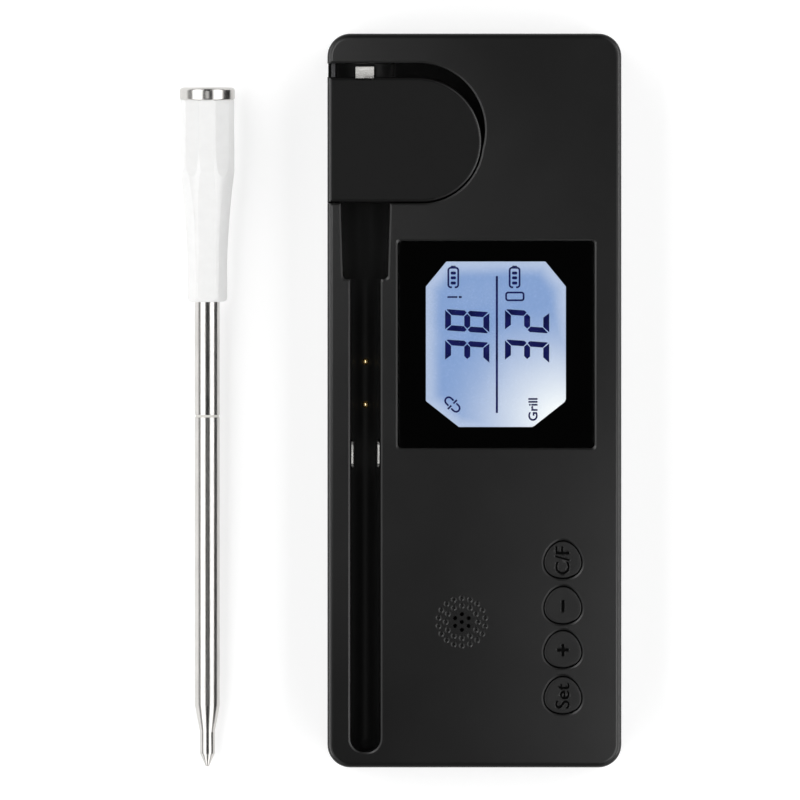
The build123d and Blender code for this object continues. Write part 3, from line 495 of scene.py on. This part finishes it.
# %% [markdown]
# ## Display glass
# The display is a liquid crystal cell with a pale blue light behind it. Its lamp is at one corner, so
# the glow fades from white there to blue over most of the area, and it is a little lighter along
# the edges. The glow is an emission whose strength is even. Its colour depends on the distance from
# the lamp's corner, and on the distance to the nearest of the eight edges of the lit area.

# %% Lit display
LIT_LOW = Vector((-9.7, -5.3)) * MM
LIT_HIGH = Vector((18.3, 27.8)) * MM
LAMP_CORNER = (17.1 * MM, -3.9 * MM, 0)
# How far each cut corner reaches along X and Y in millimetres: at the lower end, then at the upper.
CORNER_CUTS = ((6.6, 5.2), (4.1, 5.0))

display = Finish("lcd", (0.05, 0.06, 0.08), 0.25)
place = display.node("SeparateXYZ", Vector=display.points)
lit_x, lit_y = place.outputs["X"], place.outputs["Y"]
flat = display.node("CombineXYZ", X=lit_x, Y=lit_y).outputs[0]
to_lamp = display.node("VectorMath", [("operation", "DISTANCE")], i0=flat, i1=LAMP_CORNER)
near = display.between(to_lamp.outputs["Value"], 24 * MM, 3 * MM)
white_share = display.maths("POWER", near, 1.4)

side_margins = [display.maths("SUBTRACT", lit_x, LIT_LOW.x), display.maths("SUBTRACT", LIT_HIGH.x, lit_x)]
end_margins = [display.maths("SUBTRACT", lit_y, LIT_LOW.y), display.maths("SUBTRACT", LIT_HIGH.y, lit_y)]
edge = side_margins[0]
for margin in side_margins[1:] + end_margins:
    edge = display.maths("MINIMUM", edge, margin)
for side_margin in side_margins:
    for end_margin, (cut_x, cut_y) in zip(end_margins, CORNER_CUTS):
        past_x = display.maths("DIVIDE", side_margin, cut_x * MM)
        past_y = display.maths("DIVIDE", end_margin, cut_y * MM)
        past = display.maths("SUBTRACT", display.maths("ADD", past_x, past_y), 1.0)
        cut_depth = cut_x * cut_y / math.hypot(cut_x, cut_y) * MM
        edge = display.maths("MINIMUM", edge, display.maths("MULTIPLY", past, cut_depth))
rim_share = display.between(edge, 3.6 * MM, 0.1 * MM, 0.0, 0.32, smooth=True)
patches = display.between(display.noise(9.0, detail=2.0), 0.3, 0.7, -0.03, 0.03)
share = display.maths("ADD", display.maths("MAXIMUM", white_share, rim_share), patches)
glow = display.mix(share, (0.225, 0.35, 0.63), (0.95, 0.985, 1.0))
display.drive("Emission Color", glow)
display.shader.inputs["Emission Strength"].default_value = 1.02
display.drive("Roughness", display.between(display.noise(0.4), 0.3, 0.7, 0.2, 0.3))
finishes["lcd"] = display

guide = Finish("light_guide", (0.75, 0.8, 0.86), 0.4)
guide_cloud = guide.noise(3.0)
guide.drive("Base Color", guide.mix(guide_cloud, (0.7, 0.76, 0.85), (0.82, 0.86, 0.9)))
finishes["light_guide"] = guide.bump(guide_cloud, 0.01)
print("display ready")

# %% [markdown]
# ## Electronics
# The boards, chips and battery are inside, and only glimpses of them show through the socket and the
# openings. They still get their own finishes, because a part is also looked at opened up: solder
# mask with copper tracks under it, matt moulded chips, and the wrinkled foil of a battery pouch.

# %% Circuit board, chips and battery foil
board = Finish("circuit_board", (0.01, 0.09, 0.045), 0.35)
tracks = board.node("TexBrick", Vector=board.stretched(4.0, 4.0, 4.0), Scale=1.0, Mortar_Size=0.035,
                    Color1=(0, 0, 0, 1), Color2=(0, 0, 0, 1), Mortar=(1, 1, 1, 1))
weave = board.noise(0.8)
copper = board.mix(tracks.outputs["Fac"], (0.008, 0.075, 0.04), (0.02, 0.15, 0.07))
board.drive("Base Color", copper).drive("Roughness", board.between(weave, 0.3, 0.7, 0.28, 0.42))
finishes["circuit_board"] = board.bump(tracks.outputs["Fac"], 0.03)

chip = Finish("chip_plastic", (0.012, 0.012, 0.012), 0.6)
chip_grain = chip.noise(0.15)
chip.drive("Base Color", chip.mix(chip_grain, (0.010, 0.010, 0.010), (0.022, 0.022, 0.022)))
chip.drive("Roughness", chip.between(chip_grain, 0.3, 0.7, 0.55, 0.7))
finishes["chip_plastic"] = chip.bump(chip_grain, 0.01)

foil = Finish("cell_foil", (0.55, 0.56, 0.57), 0.38, Metallic=0.9)
wrinkles = foil.noise(6.0, 3.0, 6.0, detail=5.0, rough=0.6)
foil.drive("Roughness", foil.between(wrinkles, 0.3, 0.7, 0.3, 0.5))
foil.drive("Base Color", foil.mix(wrinkles, (0.5, 0.51, 0.52), (0.62, 0.62, 0.63)))
finishes["cell_foil"] = foil.bump(wrinkles, 0.15)
print(len(finishes), "finishes")

# %% [markdown]
# ## Dress the CAD pieces
# Each CAD piece arrives with a plain material named after its slot in the record. Swapping that one
# material per slot dresses every piece at once, and keeps the pieces themselves untouched.

# %% Give every CAD piece its finish
slot_of = {row["node"]: row["material_slot"] for row in frame["record"]["subparts"]}
for name, piece in nodes.items():
    for slot in piece.material_slots:
        slot.material = finishes[slot_of[name]].material
print(len(slot_of), "pieces dressed")

# %% [markdown]
# ## The floor
# The object lies on a wide pale table top, wide enough for its edge never to show. Its paper is a
# light grey that glows a little, like a light table. The glow lifts it to white and keeps the
# shadows faint. Brighter lamps would also make it white, but they would wash out the stripes on
# the steel.

# %% A pale floor
PAPER_GLOW = 0.54
FLOOR_HALF = 4.0
FLOOR_GAP = 0.02 * MM

paper = Finish("pale_floor", (0.62, 0.62, 0.62), 0.6)
paper.shader.inputs["Emission Color"].default_value = (1, 1, 1, 1)
paper.shader.inputs["Emission Strength"].default_value = PAPER_GLOW
paper_cloud = paper.noise(400.0)
paper.drive("Base Color", paper.mix(paper_cloud, (0.615, 0.615, 0.615), (0.63, 0.63, 0.63)))
floor_mesh = bpy.data.meshes.new("floor")
floor_form = bmesh.new()
bmesh.ops.create_grid(floor_form, x_segments=8, y_segments=8, size=FLOOR_HALF)
floor_form.to_mesh(floor_mesh)
floor_form.free()
floor = bpy.data.objects.new("floor", floor_mesh)
floor.location.z = -FLOOR_GAP
floor_mesh.materials.append(paper.material)
bpy.context.scene.collection.objects.link(floor)
print("floor", floor.dimensions.x, "m across")

# %% [markdown]
# ## The display's ink
# The dark figures are areas of liquid crystal that turn navy. Each is a flat shape on the cell's
# front, so each is built as a thin plate from its outline. The display is read with the dock turned
# on its side: a figure's top points to the channel, and a word runs up the dock.

# %% Plates from outlines
def flat_plate(name, outlines, low, high, material):
    """Thin plates of one material. Each outline is a list of (x, y) in metres, counterclockwise.

    Outlines that share an edge are joined there, so no wall is left inside the plate.
    """
    form = bmesh.new()
    corners = {}

    def corner(point, z):
        key = (round(point[0], 8), round(point[1], 8), z)
        if key not in corners:
            corners[key] = form.verts.new((*key[:2], z))
        return corners[key]

    edges = {}
    for points in outlines:
        bottom = [corner(point, low) for point in points]
        top = [corner(point, high) for point in points]
        form.faces.new(top)
        form.faces.new(list(reversed(bottom)))
        for i in range(len(points)):
            j = (i + 1) % len(points)
            edges[bottom[i], bottom[j]] = (bottom[i], bottom[j], top[j], top[i])
    for (start, end), wall in edges.items():
        if (end, start) not in edges:
            form.faces.new(wall)
    mesh = bpy.data.meshes.new(name)
    form.to_mesh(mesh)
    form.free()
    mesh.materials.append(material)
    plate = bpy.data.objects.new(name, mesh)
    bpy.context.scene.collection.objects.link(plate)
    return plate


INK_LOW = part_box("lcd_glass")[1].z + 0.01 * MM
INK_HIGH = INK_LOW + 0.03 * MM
print("ink lies", INK_LOW / MM, "mm up")

# %% [markdown]
# ### The ink's tone
# Dark liquid crystal still lets a trace of the blue light through. So the ink is a nearly black
# surface with a faint navy glow, a little uneven, instead of a plain navy that would look painted.

# %% Navy ink
ink = Finish("display_ink", (0.002, 0.002, 0.01), 0.5, Specular_IOR_Level=0.1)
ink.shader.inputs["Emission Strength"].default_value = 1.0
ink_cloud = ink.noise(2.5)
ink_mottle = ink.between(ink_cloud, 0.35, 0.65)
ink.drive("Emission Color", ink.mix(ink_mottle, (0.001, 0.003, 0.05), (0.004, 0.006, 0.09)))
ink.drive("Base Color", ink.mix(ink_cloud, (0.002, 0.002, 0.012), (0.003, 0.003, 0.02)))
ink.drive("Roughness", ink.between(ink_cloud, 0.3, 0.7, 0.42, 0.58))
print("ink is", ink.material.name)

# %% [markdown]
# ### Seven-bar figures
# Each figure is made of up to seven bars with mitred ends. Drawing the seven bars once, and choosing
# which are lit, makes any number. The figures lean a little to the right, as they do on most such
# displays, and the lean is a shear of the finished points. They are drawn upright, as the reader
# sees them, and then turned by one function.

# %% Seven-bar figures
FIGURE_W = 4.26
FIGURE_H = 8.86
LEAN = 0.07
BAR_V = 1.10
BAR_H = 1.20
CUT = 0.09


def bars():
    """The seven bars of one figure, each an outline of (right, up) points in millimetres."""
    w, h, v, b, c = FIGURE_W, FIGURE_H, BAR_V, BAR_H, CUT
    mid = h / 2
    top = [(0.12 + c, h), (v + c, h - b), (w - v - c, h - b), (w - 0.12 - c, h)]
    upper_right = [(w - 0.12, h - 0.30), (w - v, h - b - c), (w - v, mid + b / 2 + c), (w - 0.4, mid + c),
                   (w, mid + 0.55), (w, h - 0.5)]
    middle = [(v / 2 + c, mid), (v + c, mid - b / 2), (w - v - c, mid - b / 2), (w - v / 2 - c, mid),
              (w - v - c, mid + b / 2), (v + c, mid + b / 2)]

    def upside_down(points):
        return [(x, h - y) for x, y in reversed(points)]

    def mirrored(points):
        return [(w - x, y) for x, y in reversed(points)]

    return {
        "top": top,
        "upper_right": upper_right,
        "lower_right": upside_down(upper_right),
        "bottom": upside_down(top),
        "lower_left": mirrored(upside_down(upper_right)),
        "upper_left": mirrored(upper_right),
        "middle": middle,
    }


LIT_BARS = {
    "2": ("top", "upper_right", "middle", "lower_left", "bottom"),
    "3": ("top", "upper_right", "middle", "lower_right", "bottom"),
    "8": ("top", "upper_right", "lower_right", "bottom", "lower_left", "upper_left", "middle"),
}


def turned_to_dock(points, bottom_x, left_y):
    """Turn upright (right, up) points in millimetres so that they read up the dock."""
    return [((bottom_x - up) * MM, (left_y + right) * MM) for right, up in points]


FIGURE_LEFTS = (7.34, 13.42)
figure_bars = bars()
for name, digits, bottom_x in (("probe_figures", "38", 3.0), ("setting_figures", "32", 14.98)):
    outlines = []
    for digit, left_y in zip(digits, FIGURE_LEFTS):
        for bar in LIT_BARS[digit]:
            leaning = [(x + LEAN * y, y) for x, y in figure_bars[bar]]
            outlines.append(turned_to_dock(leaning, bottom_x, left_y))
    plate = flat_plate(name, outlines, INK_LOW, INK_HIGH, ink.material)
    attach(plate, "dock")
    print(name, len(outlines), "bars")

# %% [markdown]
# ### Signs round the figures
# Small signs stand above the figures: two battery gauges, one for the probe and one for the dock, and
# a simple picture of each. A line divides the two readings, and a broken chain says that no telephone
# is linked. They are strokes of even width, so one function that thickens a path draws all of them.

# %% Rounded shapes and strokes
CORNER_STEPS = 5


def rounded(x0, x1, y0, y1, r):
    """A rectangle with round corners, counterclockwise from its right side."""
    points = []
    centres = ((x1 - r, y1 - r), (x0 + r, y1 - r), (x0 + r, y0 + r), (x1 - r, y0 + r))
    for (cx, cy), start in zip(centres, (0, 90, 180, 270)):
        for step in range(CORNER_STEPS + 1):
            angle = math.radians(start + 90 * step / CORNER_STEPS)
            points.append((cx + r * math.cos(angle), cy + r * math.sin(angle)))
    return points


def stroke(path, width, closed=False):
    """Quads that cover a path in (x, y), with mitred corners."""
    points = [Vector(p) for p in path]
    count = len(points)
    sides = []
    for i, point in enumerate(points):
        before = points[i - 1] if i or closed else None
        after = points[(i + 1) % count] if i < count - 1 or closed else None
        ways = [(point - before).normalized()] if before is not None else []
        ways += [(after - point).normalized()] if after is not None else []
        way = sum(ways, Vector((0, 0))).normalized()
        across = Vector((-way.y, way.x))
        reach = width / 2 / max(0.4, across.dot(Vector((-ways[0].y, ways[0].x))))
        sides.append((point + across * reach, point - across * reach))
    quads = []
    for i in range(count if closed else count - 1):
        (left, right), (next_left, next_right) = sides[i], sides[(i + 1) % count]
        quads.append([tuple(corner) for corner in (left, right, next_right, next_left)])
    return quads


LINE = 0.36
print("a straight stroke has", len(stroke([(0, 0), (1, 0)], LINE)), "quad")

# %% [markdown]
# ### Two signs with a shape of their own
# The battery gauge is one open stroke round three solid bars, with a nub on top. The broken chain is
# two half links on one diagonal and a slash between them on the other. Both are drawn in
# millimetres on the dock, and are kept plain, as on any appliance.

# %% Battery gauge and broken chain
GAUGE_HALF = 0.99
GAUGE_LOW = 22.65
GAUGE_HIGH = 26.55


def battery_sign(x):
    """A gauge with three bars. Its outline is open in the middle of its lower side."""
    shape = rounded(x - GAUGE_HALF, x + GAUGE_HALF, GAUGE_LOW, GAUGE_HIGH, 0.5)
    lower = [p for p in shape if p[1] < GAUGE_LOW + 0.55]
    upper = [p for p in shape if p[1] > GAUGE_HIGH - 2.55]
    to_right = [p for p in lower if p[0] > x]
    to_left = [p for p in lower if p[0] < x]
    path = [(x + 0.28, GAUGE_LOW)] + to_right + upper + to_left + [(x - 0.28, GAUGE_LOW)]
    drawn = stroke(path, LINE)
    drawn.append([(x - 0.55, 26.74), (x + 0.55, 26.74), (x + 0.4, 26.97), (x - 0.4, 26.97)])
    for y in (23.5, 24.54, 25.5):
        drawn.append(rounded(x - 0.53, x + 0.53, y - 0.3, y + 0.3, 0.24))
    return drawn


def chain_sign(x, y):
    """Two half links on one diagonal, and a broken slash between them on the other."""
    def half_link(way):
        path = []
        for step in range(9):
            angle = math.radians(180 * step / 8 - 90)
            path.append(way * Vector((0.62 + 0.72 * math.cos(angle), 0.72 * math.sin(angle))))
        return [way * Vector((-0.05, -0.72))] + path + [way * Vector((-0.05, 0.72))]

    diagonal = Matrix.Rotation(math.radians(-45), 2)
    drawn = []
    for way in (1, -1):
        middle = Vector((x + 0.3 * way, y - 0.3 * way))
        drawn += stroke([tuple(diagonal @ p + middle) for p in half_link(way)], LINE)
        near_end, far_end = 0.196 * way, 0.91 * way
        drawn += stroke([(x + near_end, y + near_end), (x + far_end, y + far_end)], LINE)
    return drawn


print("chain sign", len(chain_sign(0, 0)), "quads")

# %% [markdown]
# ### Place the signs
# Each sign becomes one plate of ink. Where the quads of a stroke meet, the plate builder joins them,
# so a sign is one clean solid without walls inside it.

# %% All the signs
def in_metres(outlines):
    """Outlines in millimetres, scaled to metres."""
    return [[(x * MM, y * MM) for x, y in points] for points in outlines]


signs = {
    "probe_battery_sign": battery_sign(-4.22),
    "dock_battery_sign": battery_sign(8.05),
    "probe_sign": stroke([(-5.4, 20.7), (-3.4, 20.7)], 0.34) + [rounded(-3.12, -2.52, 20.5, 20.9, 0.12)],
    "dock_sign": stroke(rounded(6.35, 9.85, 20.05, 21.6, 0.4), LINE, closed=True),
    "dividing_line": [rounded(4.28, 4.72, -2.5, 24.9, 0.12)],
    "broken_chain_sign": chain_sign(-4.4, -0.8),
}
for name, outlines in signs.items():
    sign = flat_plate(name, in_metres(outlines), INK_LOW, INK_HIGH, ink.material)
    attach(sign, "dock")
    print(name, len(outlines), "shapes")

# %% [markdown]
# ### The word on the display
# One plain word names the setting. A text object turned into a mesh gives its letters, thickened a
# little because the display's letters are bold. The same function cuts the letters on the keys.

# %% Letters as meshes
def letters(name, word, height, length, centre, depth, z, bold):
    """A word that reads up the dock, fitted to a height and a length round centre. Sizes in metres."""
    text = bpy.data.curves.new(name, "FONT")
    text.body = word
    text.align_x = "CENTER"
    text.size = 1.0
    text.offset = bold
    text.resolution_u = 6
    text.extrude = 0.5
    carrier = bpy.data.objects.new(name + "_text", text)
    mesh = bpy.data.meshes.new_from_object(carrier)
    bpy.data.objects.remove(carrier)
    ups = [v.co.y for v in mesh.vertices]
    low, high = min(ups), max(ups)
    lefts = [v.co.x for v in mesh.vertices]
    middle = (min(lefts) + max(lefts)) / 2
    for v in mesh.vertices:
        right = (v.co.x - middle) * length / (max(lefts) - min(lefts))
        up = (v.co.y - (low + high) / 2) * height / (high - low)
        v.co = (centre[0] - up, centre[1] + right, z + v.co.z * depth)
    mesh.name = name
    form = bmesh.new()
    form.from_mesh(mesh)
    bmesh.ops.remove_doubles(form, verts=form.verts, dist=1e-6)
    bmesh.ops.recalc_face_normals(form, faces=form.faces)
    form.to_mesh(mesh)
    form.free()
    word_piece = bpy.data.objects.new(name, mesh)
    bpy.context.scene.collection.objects.link(word_piece)
    return word_piece


WORD_HEIGHT = 1.87 * MM
WORD_LENGTH = 4.56 * MM
WORD_CENTRE = (11.72 * MM, -1.80 * MM)
word = letters("setting_word", "Grill", WORD_HEIGHT, WORD_LENGTH, WORD_CENTRE,
               INK_HIGH - INK_LOW, (INK_LOW + INK_HIGH) / 2, bold=0.022)
word.data.materials.append(ink.material)
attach(word, "dock")
print("word", [round(side / MM, 2) for side in word.dimensions])

# %% [markdown]
# ## Buttons
# Four moulded keys stand just above the face. Seen from above each is a pebble, nearly round with
# three soft corners, and its mark is sunk into its top. The CAD button has the outline and a plain
# top. Here each is built again with a rounded rim and a shallow dish, as a stack of rings that all
# have the pebble's outline.

# %% The shape of a key
KEY_R = 3.66
KEY_LOBE = 0.16
KEY_DENT = 0.10
KEY_POINTS = 96
KEY_RIM = 0.22 * MM
KEY_DISH = 0.04 * MM
RIM_STEPS = 6
DISH_STEPS = 5
DISH_STEP = 0.56 * MM
FLANGE_OUT = 0.67 * MM


def key_form(centre, low, top, flange_z):
    """A pebble with a flange at its foot: rings of one outline, from the bottom to the dished top."""
    def outline(shrink):
        ring_points = []
        for step in range(KEY_POINTS):
            angle = math.tau * step / KEY_POINTS
            lobe = KEY_LOBE * math.cos(3 * (angle - math.pi / 2))
            dent = KEY_DENT * math.exp(-((angle - math.radians(300)) / 0.20) ** 2)
            radius = (KEY_R + lobe - dent) * MM - shrink
            ring_points.append((centre.x + radius * math.cos(angle), centre.y + radius * math.sin(angle)))
        return ring_points

    rings = [(-FLANGE_OUT, low), (-FLANGE_OUT, flange_z), (0.0, flange_z), (0.0, top - KEY_RIM)]
    for step in range(1, RIM_STEPS + 1):
        angle = math.radians(90 * step / RIM_STEPS)
        rings.append((KEY_RIM * (1 - math.cos(angle)), top - KEY_RIM + KEY_RIM * math.sin(angle)))
    for step in range(1, DISH_STEPS + 1):
        sink = KEY_DISH * math.sin(math.radians(90 * step / DISH_STEPS)) ** 2
        rings.append((KEY_RIM + step * DISH_STEP, top - sink))
    form = bmesh.new()
    loops = [[form.verts.new((x, y, z)) for x, y in outline(shrink)] for shrink, z in rings]
    for below, above in zip(loops, loops[1:]):
        for i in range(KEY_POINTS):
            j = (i + 1) % KEY_POINTS
            form.faces.new((below[i], below[j], above[j], above[i]))
    form.faces.new(loops[-1])
    form.faces.new(list(reversed(loops[0])))
    for face in form.faces:
        face.smooth = True
    return form


print("a key is", round(2 * KEY_R, 2), "mm across")

# %% [markdown]
# ### Marks sunk into the keys
# Each mark is cut into its key by a boolean, because a mark that is only painted has no edge to
# catch the light. The cutter is a word made solid, or a plate for the plus and the minus. Its
# finish goes over to the faces it cuts: a black that gives back almost no light, painted darker
# than the key as the shade down in the cut.

# %% Cut a mark
MARK_DEPTH = 0.40 * MM

# Painted shade: the floors of the cut marks get a near-black finish without reflection, for the shade in
# the cuts.
legend = Finish("button_mark", (0.0006, 0.0006, 0.0006), 0.6, Specular_IOR_Level=0.02)
legend_cloud = legend.noise(0.4)
legend.drive("Base Color", legend.mix(legend_cloud, (0.0003, 0.0003, 0.0003), (0.0010, 0.0010, 0.0010)))


def cut_mark(key, cutter):
    """Cut the mark out of the key with a boolean, close any slit it leaves, and keep only the mesh."""
    cutter.data.materials.append(legend.material)
    change = key.modifiers.new("mark", "BOOLEAN")
    change.operation = "DIFFERENCE"
    change.solver = "EXACT"
    change.material_mode = "TRANSFER"
    change.object = cutter
    bpy.context.view_layer.update()
    finished = bpy.data.meshes.new_from_object(key.evaluated_get(bpy.context.evaluated_depsgraph_get()))
    key.modifiers.clear()
    form = bmesh.new()
    form.from_mesh(finished)
    slit = [edge for edge in form.edges if len(edge.link_faces) == 1]
    bmesh.ops.holes_fill(form, edges=slit, sides=8)
    open_edges = [edge for edge in form.edges if len(edge.link_faces) != 2]
    form.to_mesh(finished)
    form.free()
    key.data = finished
    bpy.data.objects.remove(cutter)
    print(key.name, len(slit), "edges closed,", len(open_edges), "still open")


CLEARANCE = 1 * MM
LETTER_HEIGHT = 2.85 * MM
LETTER_LENGTHS = {"C/F": 5.5 * MM, "Set": 4.95 * MM}
MINUS = [rounded(-0.33, 0.33, -1.14, 1.14, 0.1)]
ARM, HALF_ARM = 1.16, 0.31
PLUS = [[(HALF_ARM, -ARM), (HALF_ARM, -HALF_ARM), (ARM, -HALF_ARM), (ARM, HALF_ARM),
         (HALF_ARM, HALF_ARM), (HALF_ARM, ARM), (-HALF_ARM, ARM), (-HALF_ARM, HALF_ARM),
         (-ARM, HALF_ARM), (-ARM, -HALF_ARM), (-HALF_ARM, -HALF_ARM), (-HALF_ARM, -ARM)]]


def mark_cutter(mark, centre, top):
    """The shape that sinks a mark into a key: letters, or a plate from outlines round the middle."""
    low, high = top - MARK_DEPTH, top + CLEARANCE
    if mark in LETTER_LENGTHS:
        return letters("mark", mark, LETTER_HEIGHT, LETTER_LENGTHS[mark], (centre.x - 0.1 * MM, centre.y),
                       high - low, (low + high) / 2, bold=0.006)
    outlines = {"minus": MINUS, "plus": PLUS}[mark]
    placed = [[(centre.x + x * MM, centre.y + y * MM) for x, y in points] for points in outlines]
    return flat_plate("mark", placed, low, high, legend.material)


print("letters are cut for", sorted(LETTER_LENGTHS))

# %% [markdown]
# ### The four keys
# A finished key takes the CAD button's place on its own sprung body, so that it can be pressed. It
# also joins the lamps that are linked to the black dock, or it would stay dark beside the face.

# %% Build the four keys
# A key's box says where its upper side is, because its lower side, between two lobes, reaches less
# far. The CAD key is a pebble of mean radius 3.58 with lobes of 0.16 and a flange of 0.8 round it.
FLANGE_REACH = (3.58 + KEY_LOBE + 0.8) * MM
FLANGE_DEPTH = 2.4 * MM
MARKS = {"cf_button": "C/F", "minus_button": "minus", "plus_button": "plus", "set_button": "Set"}
for node_name, mark in MARKS.items():
    low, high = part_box(node_name)
    centre = Vector(((low.x + high.x) / 2, high.y - FLANGE_REACH, 0))
    form = key_form(centre, low.z, high.z, face_top - FLANGE_DEPTH)
    mesh = bpy.data.meshes.new(node_name + "_key")
    form.to_mesh(mesh)
    form.free()
    mesh.materials.append(finishes["button_black_plastic"].material)
    key = bpy.data.objects.new(node_name + "_key", mesh)
    bpy.context.scene.collection.objects.link(key)
    cutter = mark_cutter(mark, centre, high.z - KEY_DISH)
    cut_mark(key, cutter)
    body = nodes[node_name]["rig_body"]
    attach(key, body)
    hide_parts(node_name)
    for lit in rim_lit + face_lit:
        lit.objects.link(key)
    print(node_name, len(key.data.polygons), "faces, rides", body)
